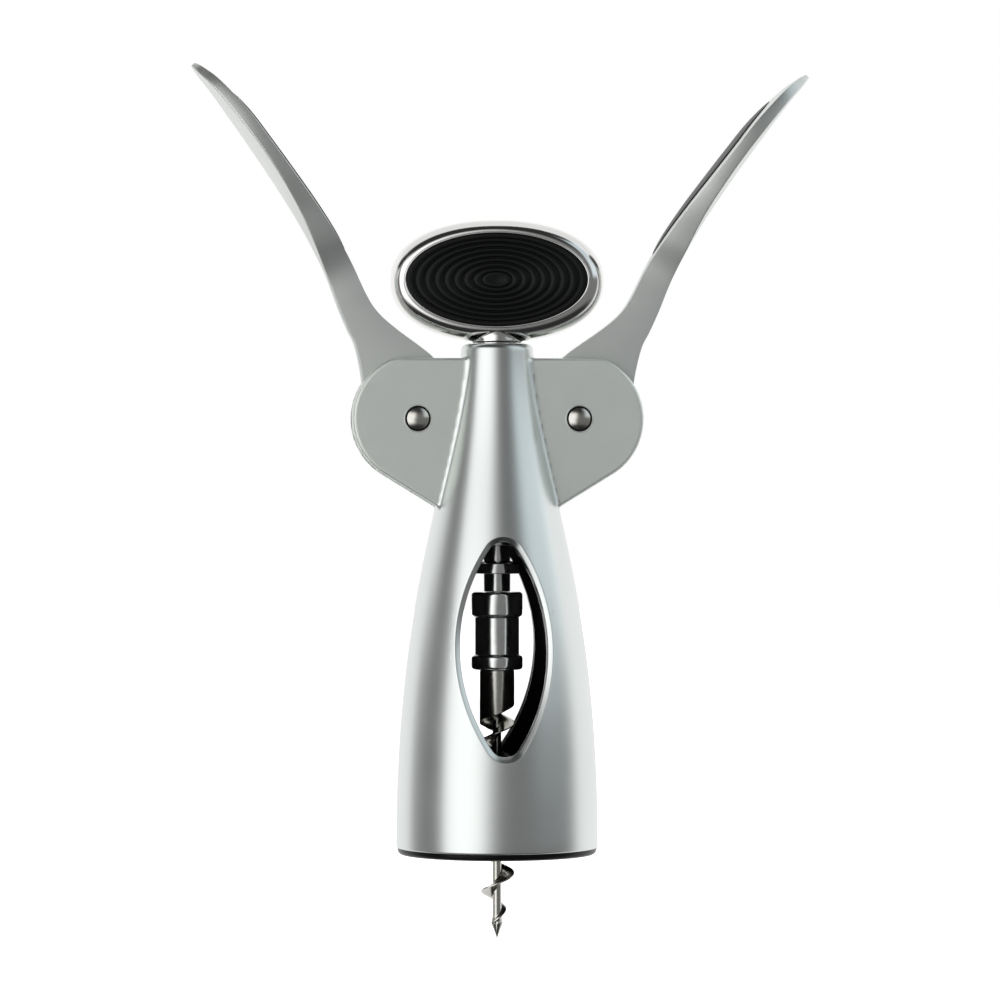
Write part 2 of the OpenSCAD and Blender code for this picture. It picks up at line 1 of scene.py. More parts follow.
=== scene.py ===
"""Wing corkscrew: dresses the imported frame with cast, turned and moulded pieces."""
import json
import math

import bpy
import numpy as np
from mathutils import Matrix, Vector


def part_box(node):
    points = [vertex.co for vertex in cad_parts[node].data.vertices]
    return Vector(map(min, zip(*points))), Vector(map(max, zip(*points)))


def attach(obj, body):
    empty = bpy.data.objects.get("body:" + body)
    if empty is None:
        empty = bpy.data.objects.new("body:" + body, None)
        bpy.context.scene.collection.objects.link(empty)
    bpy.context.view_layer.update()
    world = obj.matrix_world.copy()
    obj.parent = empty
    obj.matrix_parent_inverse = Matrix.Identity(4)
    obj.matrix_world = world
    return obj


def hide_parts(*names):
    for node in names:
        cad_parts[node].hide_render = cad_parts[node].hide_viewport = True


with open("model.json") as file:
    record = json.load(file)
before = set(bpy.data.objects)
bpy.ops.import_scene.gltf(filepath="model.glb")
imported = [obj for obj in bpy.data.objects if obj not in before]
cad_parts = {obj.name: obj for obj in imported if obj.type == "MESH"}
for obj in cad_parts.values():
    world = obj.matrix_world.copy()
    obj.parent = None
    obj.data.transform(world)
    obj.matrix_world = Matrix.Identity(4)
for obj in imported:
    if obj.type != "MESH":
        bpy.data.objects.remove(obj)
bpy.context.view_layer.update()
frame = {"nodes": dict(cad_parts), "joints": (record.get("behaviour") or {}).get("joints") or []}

bl_info = {
    "name": "Wing corkscrew",
    "version": (1, 0, 0),
    "blender": (4, 5, 0),
    "location": "3D View > Sidebar > Corkscrew",
    "description": "Builds the pieces of a wing corkscrew around its packed frame",
    "category": "Object",
}

MM = 1000.0  # millimetres in a metre: the shapes below are worked out in millimetres


def node_box(node):
    """Lowest and highest corner of a node of the frame, in millimetres."""
    low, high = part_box(node)
    return np.array(low) * MM, np.array(high) * MM


def frame_joint(name):
    """A joint of the frame."""
    return next(joint for joint in frame["joints"] if joint["name"] == name)


BELL_LOW, BELL_HIGH = node_box("bell_casting")
KNOB_LOW, KNOB_HIGH = node_box("knob_body")
SPOOL_LOW, SPOOL_HIGH = node_box("stop_spool")
WORM_LOW, WORM_HIGH = node_box("worm")

NECK_TOP = BELL_HIGH[2]
RING_TOP = BELL_LOW[2]      # the bell stands on the black ring
PIVOT_X, _, PIVOT_Z = np.array(frame_joint("right_wing_hinge")["pos_m"]) * MM
TRAVEL = frame_joint("rack_slide")["range_m"][1] * MM  # how far the spindle rises
VIEW_TURN = math.radians(-5.5)  # the camera stands a little left of the front


# ---------------------------------------------------------------- settings

def length(name, default, description):
    """A length in metres, given here in millimetres."""
    return bpy.props.FloatProperty(
        name=name, description=description, default=default / MM,
        unit="LENGTH", min=0.0, precision=5,
    )


def colour(name, default, description):
    return bpy.props.FloatVectorProperty(
        name=name, description=description, default=default, size=3,
        subtype="COLOR", min=0.0, max=1.0,
    )


class CorkscrewSizes(bpy.types.PropertyGroup):
    wall: length("Bell wall", 2.6, "Wall of the bell")
    neck_round: length("Neck rounding", 1.35, "Rounding of the neck's top edge")
    window_w: length("Window half width", 9.7, "Half width of the lens-shaped window")
    window_h: length("Window half height", 23.6, "Half height of the window")
    window_z: length("Window height", 46.2, "Height of the window's centre")
    window_tip: length("Window tip radius", 3.6, "Radius of the window's tips")
    window_lip: length("Window lip", 1.1, "Width of the bevel round the window")
    ear_r: length("Ear radius", 14.5, "Radius of the ear plates")
    ear_top: length("Ear top", 13.5, "Flat top of the ears above the pivot")
    ear_drop: length("Ear drop", 19.6, "Foot of the ears below the pivot")
    ear_gap: length("Ear gap", 5.6, "Gap between the two plates of an ear")
    ear_t: length("Ear plate", 1.8, "Thickness of one ear plate")
    ear_round: length("Ear rounding", 0.8, "Rounding of the ear plates' outer edges")
    seam: length("Seam fillet", 0.8, "Fillet where the ears meet the neck")
    rivet_r: length("Rivet head radius", 2.48, "Radius of the domed rivet head")
    rivet_h: length("Rivet head height", 0.75, "Height of the dome above the plate")
    # The dark seat is a flat black disc on the plate: painted shadow for the shade in the dished
    # seat round each rivet head
    seat_shade_r: length("Rivet seat radius", 2.87, "Radius of the dark seat round a rivet head")
    seat_lip: length("Rivet seat lip", 0.3, "Width of the bright lip round a rivet's seat")
    gear_t: length("Gear thickness", 5.0, "Thickness of the gear and of the wing's root")
    wing_edge: length("Wing edge", 0.35, "Rounding of the wings' edges")
    wing_pad_w: length("Wing pad half width", 6.5, "Half width of a wing pad at its middle")
    wing_pad_taper: length("Wing pad taper", 2.6, "How much a wing pad narrows towards the root")
    wing_pad_h: length("Wing pad height", 0.25, "Height of the wing pads above the metal")
    ring_pitch: length("Ring pitch", 6.283, "Distance between the rack rings")
    ring_r: length("Ring radius", 5.15, "Radius over the rack rings")
    root_r: length("Rod radius", 2.95, "Radius of the rod between the rings")
    worm_pitch: length("Worm pitch", 8.4, "Rise of the worm's flight in one turn")
    worm_r: length("Worm radius", 3.85, "Outer radius of the worm's flight")
    core_r: length("Core radius", 0.97, "Radius of the worm's core")
    rim_w: length("Knob half width", 23.9, "Half width of the oval knob")
    rim_h: length("Knob half height", 13.7, "Half height of the oval knob")
    rim_t: length("Knob half thickness", 5.7, "Half thickness of the knob")
    pad_w: length("Pad half width", 20.2, "Half width of the knob's pad")
    pad_h: length("Pad half height", 10.35, "Half height of the knob's pad")
    boss_r: length("Boss radius", 5.5, "Radius of the boss under the knob")
    camera_distance: length("Camera distance", 1000.0, "Distance from the camera to the axis")
    camera_z: length("Camera height", 79.05, "Height of the camera, which looks level")
    frame_w: length("Frame width", 223.5, "Width that the camera sees at the body's axis")
    camera_turn: bpy.props.FloatProperty(
        name="Camera azimuth", description="Angle of the camera from the front",
        default=VIEW_TURN, subtype="ANGLE",
    )


class CorkscrewFinish(bpy.types.PropertyGroup):
    satin: colour("Satin chrome", (0.745, 0.775, 0.76), "Colour of the bell")
    pearl: colour("Pearl chrome", (0.93, 0.97, 0.92), "Colour of the ears")
    wing: colour("Wing chrome", (0.77, 0.795, 0.765), "Colour of the wings")
    chrome: colour("Polished chrome", (0.86, 0.855, 0.84), "Colour of the knob's rim")
    nickel: colour("Dark nickel", (0.84, 0.86, 0.84), "Colour of the spindle")
    steel: colour("Bright steel", (0.68, 0.67, 0.62), "Colour of the worm and the rivets")
    rubber: colour("Black rubber", (0.004, 0.0048, 0.0046), "Colour of the pads")
    plastic: colour("Black plastic", (0.003, 0.003, 0.0032), "Colour of the bottle guide")
    backdrop: colour("Backdrop", (1.0, 1.0, 1.0), "Colour of the floor and the background")


def sizes():
    return bpy.context.scene.corkscrew_sizes


def finish():
    return bpy.context.scene.corkscrew_finish


def mm(name):
    """A length from the settings, in millimetres."""
    return getattr(sizes(), name) * MM


# ---------------------------------------------------------------- node trees

class Wire:
    """A socket of a node tree that adds and multiplies like a number."""

    def __init__(self, owner, socket):
        self.owner = owner
        self.socket = socket

    def maths(self, kind, *others):
        return self.owner.maths(kind, self, *others)

    def __add__(self, other):
        return self.maths("ADD", other)

    __radd__ = __add__

    def __mul__(self, other):
        return self.maths("MULTIPLY", other)

    __rmul__ = __mul__

    def __sub__(self, other):
        return self.maths("SUBTRACT", other)

    def __rsub__(self, other):
        return self.owner.maths("SUBTRACT", other, self)

    def __neg__(self):
        return self * -1.0

    def __abs__(self):
        return self.maths("ABSOLUTE")

    def ramp(self, low, high):
        """Rises smoothly from 0 to 1 as the value goes from low to high."""
        return self.owner.node("ShaderNodeMapRange", "Result", interpolation_type="SMOOTHSTEP",
                               Value=self, From_Min=low, From_Max=high)

    def between(self, low, high, soft):
        """1 inside a range and 0 outside it, with soft edges."""
        return self.ramp(low - soft, low + soft) * (1.0 - self.ramp(high - soft, high + soft))


class Tree:
    """A node tree that is put together in Python."""

    def __init__(self, tree):
        self.tree = tree

    def plug(self, slot, value):
        """Links a wire to a socket, or sets the socket's own value."""
        if isinstance(value, Wire):
            self.tree.links.new(value.socket, slot)
        elif hasattr(slot.default_value, "__len__") and not hasattr(value, "__len__"):
            slot.default_value = [value] * len(slot.default_value)
        elif hasattr(value, "__len__") and len(value) < len(slot.default_value):
            slot.default_value = (*value, 1.0)
        else:
            slot.default_value = value

    def add(self, kind, *values, **settings):
        """Adds a node. Its sockets are filled in order or by name, its properties by name."""
        node = self.tree.nodes.new(kind)
        titles = {}
        for name, value in settings.items():
            if hasattr(node, name):
                setattr(node, name, value)
            else:
                titles[name.replace("_", " ")] = value
        for slot, value in zip(node.inputs, values):
            self.plug(slot, value)
        for title, value in titles.items():
            self.plug(next(s for s in node.inputs if s.name == title and s.enabled), value)
        return node

    def node(self, kind, output=0, *values, **settings):
        """Adds a node and returns one of its outputs."""
        return Wire(self, self.add(kind, *values, **settings).outputs[output])

    def maths(self, kind, *values):
        return self.node("ShaderNodeMath", 0, *values, operation=kind)

    def vector(self, **parts):
        return self.node("ShaderNodeCombineXYZ", **parts)

    def split(self, vector):
        """The X, Y and Z of a vector."""
        return [Wire(self, out) for out in self.add("ShaderNodeSeparateXYZ", vector).outputs]


class Shader(Tree):
    """The node tree of a material or of the world."""

    def __init__(self, holder):
        holder.use_nodes = True
        super().__init__(holder.node_tree)
        self.holder = holder
        self.tree.nodes.clear()

    def place(self):
        """Object coordinates in millimetres, together and split into X, Y and Z."""
        point = self.node("ShaderNodeTexCoord", "Object")
        scaled = self.node("ShaderNodeVectorMath", "Vector", operation="SCALE", Vector=point,
                           Scale=MM)
        return scaled, self.split(scaled)

    def noise(self, where, scale, detail=2.0, rough=0.5):
        return self.node("ShaderNodeTexNoise", "Fac", Vector=where, Scale=scale, Detail=detail,
                         Roughness=rough)

    def turning_lines(self, z, scale):
        """Noise that varies along Z alone."""
        return self.noise(self.vector(Z=z * scale), 1.0, 2.0)

    def blend(self, share, low, high):
        """A colour between two colours."""
        node = self.add("ShaderNodeMix", share, data_type="RGBA")
        for slot, value in zip([slot for slot in node.inputs if slot.type == "RGBA"], (low, high)):
            self.plug(slot, value)
        return Wire(self, next(slot for slot in node.outputs if slot.type == "RGBA"))

    def shades(self, share, tint, low, high=1.0):
        """A colour that varies between two strengths of a tint."""
        return self.blend(share, [c * low for c in tint], [min(1, c * high) for c in tint])

    def bump(self, height, strength, depth=0.02):
        """A normal from a height, with the depth in millimetres."""
        return self.node("ShaderNodeBump", "Normal", Height=height, Strength=strength,
                         Distance=depth / MM)

    def end(self, shader, kind="ShaderNodeOutputMaterial"):
        self.add(kind, Surface=shader)
        return self.holder

    def surface(self, **sockets):
        """Ends the tree in a Principled shader."""
        return self.end(self.node("ShaderNodeBsdfPrincipled", "BSDF", **sockets))

    def backdrop(self, around, seen, kind="ShaderNodeOutputMaterial"):
        """Ends the tree in one shader for the light's rays and another for the camera's."""
        ray = self.node("ShaderNodeLightPath", "Is Camera Ray")
        return self.end(self.node("ShaderNodeMixShader", 0, ray, around, seen), kind)


MATERIALS = {}


def material(name):
    """The material of that name, made when it is first asked for."""
    if name not in MATERIALS:
        MATERIALS[name] = MAKERS[name](Shader(bpy.data.materials.new(name)))
    return MATERIALS[name]


def satin_chrome(s):
    """Pearl plating on the bell: soft reflections with a fine, even grain."""
    where, _ = s.place()
    cloud = s.noise(where, 0.06, 3.0)
    grain = s.noise(where, 3.2, 2.0)
    return s.surface(
        Base_Color=s.shades(cloud, finish().satin, 0.94, 1.05),
        Metallic=1.0,
        Roughness=0.26 + cloud * 0.06 + grain * 0.03,
        Normal=s.bump(grain, 0.06, 0.02),
    )


def pearl_chrome(s):
    """The blasted plating of the flat ear plates."""
    where, _ = s.place()
    cloud = s.noise(where, 0.09, 3.0)
    grain = s.noise(where, 3.6, 2.0)
    return s.surface(
        Base_Color=s.shades(cloud, finish().pearl, 0.93, 1.03),
        Metallic=0.78,
        Roughness=0.46 + cloud * 0.06 + grain * 0.03,
        Normal=s.bump(grain, 0.06, 0.02),
    )


def wing_chrome(s):
    """The plating of the wings: smooth on the paddles, blasted like the ears at the roots."""
    where, (_, _, z) = s.place()
    cloud = s.noise(where, 0.08, 3.0)
    smooth = z.ramp(PIVOT_Z + 24, PIVOT_Z + 56)
    return s.surface(
        Base_Color=s.shades(cloud, finish().wing, 0.94, 1.05),
        Metallic=0.78 + smooth * 0.12,
        Roughness=0.47 - smooth * 0.13 + cloud * 0.06,
        Normal=s.bump(cloud, 0.02, 0.02),
    )


def polished_chrome(s):
    """Bright plating of the knob's rim, with faint wiping marks."""
    where, _ = s.place()
    smear = s.noise(where, 0.35, 4.0, 0.6)
    return s.surface(
        Base_Color=s.shades(smear, finish().chrome, 0.93),
        Metallic=1.0,
        Roughness=0.09 + smear * 0.07,
        Normal=s.bump(smear, 0.03, 0.05),
    )


def black_nickel(s):
    """Dark plating of the turned spindle, with fine turning lines round it."""
    where, (_, _, z) = s.place()
    lines = s.turning_lines(z, 9.0)
    smear = s.noise(where, 0.5, 3.0)
    return s.surface(
        Base_Color=s.shades(smear, finish().nickel, 0.85, 1.1),
        Metallic=1.0,
        Roughness=0.13 + smear * 0.07 + lines * 0.04,
        Normal=s.bump(lines, 0.05, 0.02),
    )


def bright_steel(s):
    """Bright drawn steel with light scratches."""
    where, (_, _, z) = s.place()
    lines = s.turning_lines(z, 7.0)
    smear = s.noise(where, 0.8, 3.0)
    return s.surface(
        Base_Color=s.shades(smear, finish().steel, 0.85),
        Metallic=1.0,
        Roughness=0.14 + smear * 0.12 + lines * 0.05,
        Normal=s.bump(lines, 0.08, 0.02),
    )


def black_rubber(s):
    """Soft matt rubber with a fine skin and a little dust."""
    where, _ = s.place()
    skin = s.noise(where, 5.0, 3.0)
    dust = s.noise(where, 0.9, 4.0, 0.7).ramp(0.62, 0.80)
    tint = finish().rubber
    return s.surface(
        Base_Color=s.blend(dust, tint, [c + 0.008 for c in tint]),
        Metallic=0.0,
        Roughness=0.34 + skin * 0.14 + dust * 0.1,
        Specular_IOR_Level=0.22,
        Normal=s.bump(skin, 0.12, 0.03),
    )


def black_plastic(s):
    """Moulded black plastic, glossy with a faint texture."""
    where, _ = s.place()
    skin = s.noise(where, 2.4, 3.0)
    return s.surface(
        Base_Color=s.shades(skin, finish().plastic, 1.0, 1.6),
        Metallic=0.0,
        Roughness=0.24 + skin * 0.10,
        Specular_IOR_Level=0.2,
        Normal=s.bump(skin, 0.06, 0.03),
    )


MAKERS = {maker.__name__: maker for maker in (
    satin_chrome, pearl_chrome, wing_chrome, polished_chrome,
    black_nickel, bright_steel, black_rubber, black_plastic,
)}


# ---------------------------------------------------------------- meshes

def mesh_piece(name, points, faces, finish_name, normals=None, sharp=None):
    """A piece from points in millimetres, at the origin, with smooth shading."""
    mesh = bpy.data.meshes.new(name)
    mesh.from_pydata((np.asarray(points, float) / MM).tolist(), [], faces)
    mesh.validate()
    mesh.shade_smooth()
    if sharp is not None:
        mesh.set_sharp_from_angle(angle=math.radians(sharp))
    if normals is not None:
        mesh.normals_split_custom_set_from_vertices(normals.tolist())
    mesh.materials.append(material(finish_name))
    piece = bpy.data.objects.new(name, mesh)
    bpy.context.scene.collection.objects.link(piece)
    return piece


def settle(piece, body, slot, *replaced):
    """Hands a finished piece to the frame."""
    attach(piece, body)
    if replaced:
        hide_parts(*replaced)
    return piece


def dress(node, finish_name):
    """Gives a node of the frame its material."""
    materials = frame["nodes"][node].data.materials
    materials.clear()
    materials.append(material(finish_name))


def full_turn(count):
    """Angles spread evenly over a full turn."""
    return np.linspace(0, 2 * math.pi, count, endpoint=False)


def skin(name, rings, finish_name, sharp=None, loop=False, flip=False):
    """A piece over rings of points, closed at both ends or from the last ring to the first."""
    count, around = len(rings), len(rings[0])
    faces = []
    for i in range(count if loop else count - 1):
        here, there = i * around, (i + 1) % count * around
        for j in range(around):
            k = (j + 1) % around
            faces.append((here + j, here + k, there + k, there + j))
    if not loop:
        faces.append(tuple(reversed(range(around))))
        faces.append(tuple((count - 1) * around + j for j in range(around)))
    if flip:
        faces = [tuple(reversed(face)) for face in faces]
    return mesh_piece(name, np.vstack(rings), faces, finish_name, sharp=sharp)


def soften(profile, radii, steps=6):
    """Rounds the corners of a profile with arcs that are tangent to its sides."""
    points = [np.array(p, float) for p in profile]
    result = [points[0]]
    for before, corner, after, radius in zip(points, points[1:], points[2:], radii):
        back, ahead = before - corner, after - corner
        back, ahead = back / np.linalg.norm(back), ahead / np.linalg.norm(ahead)
        half = math.acos(np.clip(back @ ahead, -1, 1)) / 2
        if radius <= 0 or half > math.radians(85):
            result.append(corner)
            continue
        between = (back + ahead) / np.linalg.norm(back + ahead)
        centre = corner + between * radius / math.sin(half)
        start = corner + back * radius / math.tan(half) - centre
        stop = corner + ahead * radius / math.tan(half) - centre
        for t in np.linspace(0, 1, steps + 1):
            spoke = start * (1 - t) + stop * t
            result.append(centre + spoke * radius / np.linalg.norm(spoke))
    result.append(points[-1])
    return result


def turned(profile, around):
    """Rings of points from a profile of (radius, height), turned round Z."""
    angles = full_turn(around)
    return [
        np.column_stack([r * np.cos(angles), r * np.sin(angles), np.full(around, z)])
        for r, z in profile
    ]


def lathe(name, profile, finish_name, around=96):
    """A turned piece, closed on the axis. Its profile runs from the foot to the top, outside."""
    rings = turned([(max(r, 0.001), z) for r, z in profile], around)
    return skin(name, rings, finish_name, sharp=32)


# ---------------------------------------------------------------- rounded solids

# A cast shape is written as a field: the distance from its surface, negative inside.

def meet(a, b, radius):
    """Where both fields are inside, with the edge between them rounded."""
    edge = np.hypot(np.maximum(a + radius, 0), np.maximum(b + radius, 0))
    return np.minimum(np.maximum(a, b), -radius) + edge


def join(a, b, radius):
    """Both shapes together, with a fillet in the corner between them."""
    corner = np.hypot(np.maximum(radius - a, 0), np.maximum(radius - b, 0))
    return np.maximum(np.minimum(a, b), radius) - corner


def cut(a, b, radius):
    """The first shape without the second, with a rounded edge."""
    return meet(a, -b, radius)


def gradient(field, points, step):
    """Direction in which a field grows at each point."""
    slopes = []
    for axis in range(3):
        shift = np.zeros(3)
        shift[axis] = step
        slopes.append(field(*(points + shift).T) - field(*(points - shift).T))
    return np.column_stack(slopes) / (2 * step)


def cast(name, field, low, high, cell, finish_name):
    """Meshes a field with one point in each cell that its surface crosses."""
    counts = np.ceil((np.asarray(high) - low) / cell).astype(int) + 1
    axes = [low[i] + cell * np.arange(counts[i]) for i in range(3)]
    grid = np.meshgrid(*axes, indexing="ij", sparse=True)
    values = np.broadcast_to(field(*grid), counts)
    total = np.zeros((*(counts - 1), 3))
    hits = np.zeros(counts - 1)
    crossings = []
    for axis in range(3):
        first = np.take(values, range(counts[axis] - 1), axis)
        second = np.take(values, range(1, counts[axis]), axis)
        crossed = (first < 0) != (second < 0)
        at = np.argwhere(crossed)
        place = at.astype(float)
        place[:, axis] += first[crossed] / (first[crossed] - second[crossed])
        corners, whole = [], True
        for steps in ((1, 1), (0, 1), (0, 0), (1, 0)):
            cells = at - np.insert(steps, axis, 0)
            good = np.all((cells >= 0) & (cells < counts - 1), axis=1)
            index = tuple(cells[good].T)
            np.add.at(total, index, place[good])
            np.add.at(hits, index, 1)
            corners.append(cells)
            whole = whole & good
        outward = (first[crossed] < 0) != (axis == 1)
        crossings.append(([cells[whole] for cells in corners], outward[whole]))
    used = hits > 0
    number = np.full(hits.shape, -1)
    number[used] = np.arange(used.sum())
    points = total[used] / hits[used][:, None] * cell + low
    faces = []
    for corners, outward in crossings:
        quads = np.column_stack([number[tuple(cells.T)] for cells in corners])
        faces.append(np.where(outward[:, None], quads, quads[:, ::-1]))
    for _ in range(4):
        slope = gradient(field, points, 0.02)
        size = np.maximum((slope ** 2).sum(1), 0.2)
        move = -slope * (field(*points.T) / size)[:, None]
        reach = np.maximum(np.linalg.norm(move, axis=1) / (cell * 0.5), 1)
        points += move / reach[:, None]
    slope = gradient(field, points, cell * 0.25)
    normals = slope / np.maximum(np.linalg.norm(slope, axis=1), 1e-9)[:, None]
    return mesh_piece(name, points, np.vstack(faces).tolist(), finish_name, normals=normals)


# ---------------------------------------------------------------- geometry nodes

class Pattern(Tree):
    """A Geometry Nodes tree whose inputs are named sizes."""

    def __init__(self, name, **inputs):
        super().__init__(bpy.data.node_groups.new(name, "GeometryNodeTree"))
        face = self.tree.interface
        for way in ("INPUT", "OUTPUT"):
            face.new_socket("Geometry", in_out=way, socket_type="NodeSocketGeometry")
        for title, value in inputs.items():
            kind = "NodeSocketInt" if isinstance(value, int) else "NodeSocketFloat"
            socket = face.new_socket(title.replace("_", " "), in_out="INPUT", socket_type=kind)
            socket.default_value = value
        self.values = inputs
        self.start = self.tree.nodes.new("NodeGroupInput")

    def given(self, title):
        """One of the tree's inputs."""
        return Wire(self, self.start.outputs[title.replace("_", " ")])

    def copies(self, points, **turns):
        """A copy of the piece on each point."""
        return self.node("GeometryNodeInstanceOnPoints", Points=points,
                         Instance=self.given("Geometry"), **turns)

    def finish(self, geometry, finish_name):
        """Realizes the copies, sets their material and ends the tree."""
        real = self.node("GeometryNodeRealizeInstances", Geometry=geometry)
        smooth = self.node("GeometryNodeSetShadeSmooth", Geometry=real)
        done = self.node("GeometryNodeSetMaterial", Geometry=smooth, Material=material(finish_name))
        self.add("NodeGroupOutput", done)

    def bake(self, piece, sharp=32):
        """Runs the tree on a piece and leaves a plain mesh."""
        modifier = piece.modifiers.new("pattern", "NODES")
        modifier.node_group = self.tree
        for item in self.tree.interface.items_tree:
            title = item.name.replace(" ", "_")
            if item.in_out == "INPUT" and title in self.values:
                modifier[item.identifier] = self.values[title]
        graph = bpy.context.evaluated_depsgraph_get()
        mesh = bpy.data.meshes.new_from_object(piece.evaluated_get(graph))
        piece.modifiers.remove(modifier)
        piece.data = mesh
        mesh.set_sharp_from_angle(angle=math.radians(sharp))
        return piece


# ---------------------------------------------------------------- bell

def bezier(points, t):
    """A point of a cubic curve."""
    t = np.asarray(t)[..., None]
    a, b, c, d = (np.array(p, float) for p in points)
    return (1 - t) ** 3 * a + 3 * (1 - t) ** 2 * t * b + 3 * (1 - t) * t ** 2 * c + t ** 3 * d


# The bell's side as four points (radius, height) of one curve
BELL_SIDE = [(22.5, 0), (22.8, 61.3), (9.8, NECK_TOP - 33.4), (7.95, NECK_TOP)]
SIDE = bezier(BELL_SIDE, np.linspace(0, 1, 4001))
SIDE_SLOPE = np.gradient(SIDE[:, 0], SIDE[:, 1])


def bell_radius(z):
    return np.interp(z, SIDE[:, 1], SIDE[:, 0])


def bell_side(x, y, z, inset=0.0):
    """Distance from the bell's side, moved in by an inset."""
    slope = np.interp(z, SIDE[:, 1], SIDE_SLOPE)
    return (np.hypot(x, y) - bell_radius(z)) / np.sqrt(1 + slope ** 2) + inset


def window_arcs():
    """Radius of the window's tips and their height, and radius of its sides and their place."""
    half_w, tip_r = mm("window_w"), mm("window_tip")
    tip_z = mm("window_h") - tip_r
    side_r = (half_w ** 2 + tip_z ** 2 - tip_r ** 2) / (2 * (half_w - tip_r))
    return tip_r, tip_z, side_r, half_w - side_r


def window_field(x, z):
    """A lens with rounded tips, in the X-Z plane."""
    tip_r, tip_z, side_r, from_side = window_arcs()
    across, up = np.abs(x), np.abs(z - mm("window_z"))
    side = np.hypot(across - from_side, up) - side_r
    tip = np.hypot(across, up - tip_z) - tip_r
    past = up * -from_side > (across - from_side) * tip_z
    return np.where(past, tip, side)


def ear_field(x, y, z):
    """Both plates of both ears, joined to the bell."""
    radius = mm("ear_r")
    inward, up = PIVOT_X - np.abs(x), z - PIVOT_Z
    foot = np.array([PIVOT_X - bell_radius(PIVOT_Z - mm("ear_drop")), -mm("ear_drop")])
    reach = np.linalg.norm(foot)
    touch = math.atan2(foot[1], foot[0]) - math.acos(radius / reach)
    normal = (math.cos(touch), math.sin(touch))
    along = (-normal[1], normal[0])
    line = inward * normal[0] + up * normal[1] - radius
    straight = (inward >= 0) | ((inward * along[0] + up * along[1] >= 0) & (up < 0))
    outline = np.where(straight, line, np.hypot(inward, up) - radius)
    outline = meet(outline, up - mm("ear_top"), 0.5)
    half = mm("ear_gap") / 2
    plate = meet(outline, np.abs(y) - half - mm("ear_t"), mm("ear_round"))
    return meet(plate, half - np.abs(y), 0.2)


SHELL_FOOT = 0.9  # the cast shell ends this far above the black ring, inside the hem
ROOF_ROOM = 0.6  # space above the raised spool
BORE_SLACK = 0.15  # space round the rack's rings in the neck
BUSH_R, BUSH_H = 6.4, 5.2  # seat of the bush in the neck's top
GEAR_SLOT_R = 15.1  # radius of the slots that the gears turn in
LAP = 0.015  # how far the fine edges stand on the shell, to cover its own edges
HEM_H, HEM_T = 2.4, 1.2  # height and thickness of the hem
BELL_CELL, BELL_MARGIN = 0.62, 1.3  # cells that the shell is meshed with, and space round it


def bell_field(x, y, z):
    outer = meet(bell_side(x, y, z), z - NECK_TOP, mm("neck_round"))
    outer = meet(outer, RING_TOP + SHELL_FOOT - z, 0.1)
    body = join(outer, ear_field(x, y, z), mm("seam"))
    roof_z = SPOOL_HIGH[2] + TRAVEL + ROOF_ROOM
    bore = np.hypot(x, y)
    neck = np.minimum(bore - mm("ring_r") - BORE_SLACK,
                      np.maximum(bore - BUSH_R, NECK_TOP - BUSH_H - z))
    hollow = np.maximum(bell_side(x, y, z, mm("wall")), z - roof_z)
    body = cut(body, np.minimum(hollow, neck), 0.2)
    gear = np.hypot(PIVOT_X - np.abs(x), z - PIVOT_Z) - GEAR_SLOT_R
    body = cut(body, np.maximum(gear, np.abs(y) - mm("ear_gap") / 2), 0.2)
    return cut(body, window_field(x, z) - mm("window_lip") - 0.15, 0.1)


def window_ring(out):
    """The window's outline, moved outward."""
    tip_r, tip_z, side_r, from_side = window_arcs()
    bend = math.atan2(tip_z, -from_side)
    arcs = (
        (from_side, 0, side_r, -bend, bend, 90),
        (0, tip_z, tip_r, bend, math.pi - bend, 24),
        (-from_side, 0, side_r, math.pi - bend, math.pi + bend, 90),
        (0, -tip_z, tip_r, math.pi + bend, 2 * math.pi - bend, 24),
    )
    points = []
    for x, z, radius, start, stop, count in arcs:
        for a in np.linspace(start, stop, count, endpoint=False):
            points.append((x + (radius + out) * math.cos(a), z + (radius + out) * math.sin(a)))
    return np.array(points)


def window_edge(side, name):
    """The rounded edge of a window, from the bell's outside through its wall."""
    wide, wall = mm("window_lip"), mm("wall") + 0.1
    # (distance out from the window's edge, depth below the bell's outside)
    section = [(wide + 0.9, 0.4), (wide + 0.9, -LAP), (wide + 0.5, -LAP), (wide + 0.12, -LAP),
               (wide + 0.04, 0.0), (wide - 0.05, 0.06), (wide * 0.5, 0.5), (0.14, 0.86),
               (0.05, 0.97), (0, 1.12), (0, wall), (wide, wall)]
    rings = []
    for out, depth in section:
        x, z = window_ring(out).T
        z = z + mm("window_z")
        y = side * np.sqrt((bell_radius(z) - depth) ** 2 - x ** 2)
        rings.append(np.column_stack([x, y, z]))
    return skin(name, rings, "satin_chrome", sharp=45, loop=True, flip=side > 0)


def bell_hem(name):
    """The lower edge of the bell, rounded where it stands on the black ring."""
    top = RING_TOP + HEM_H
    foot_r, top_r = bell_radius(RING_TOP), bell_radius(top)
    profile = [(top_r - HEM_T, top), (foot_r - HEM_T, RING_TOP), (foot_r + LAP, RING_TOP),
               (top_r + LAP, top), (top_r - HEM_T, top)]
    profile = soften(profile, (0, 0.45, 0))[:-1]
    return skin(name, turned(profile, 180), "satin_chrome", sharp=45, loop=True)


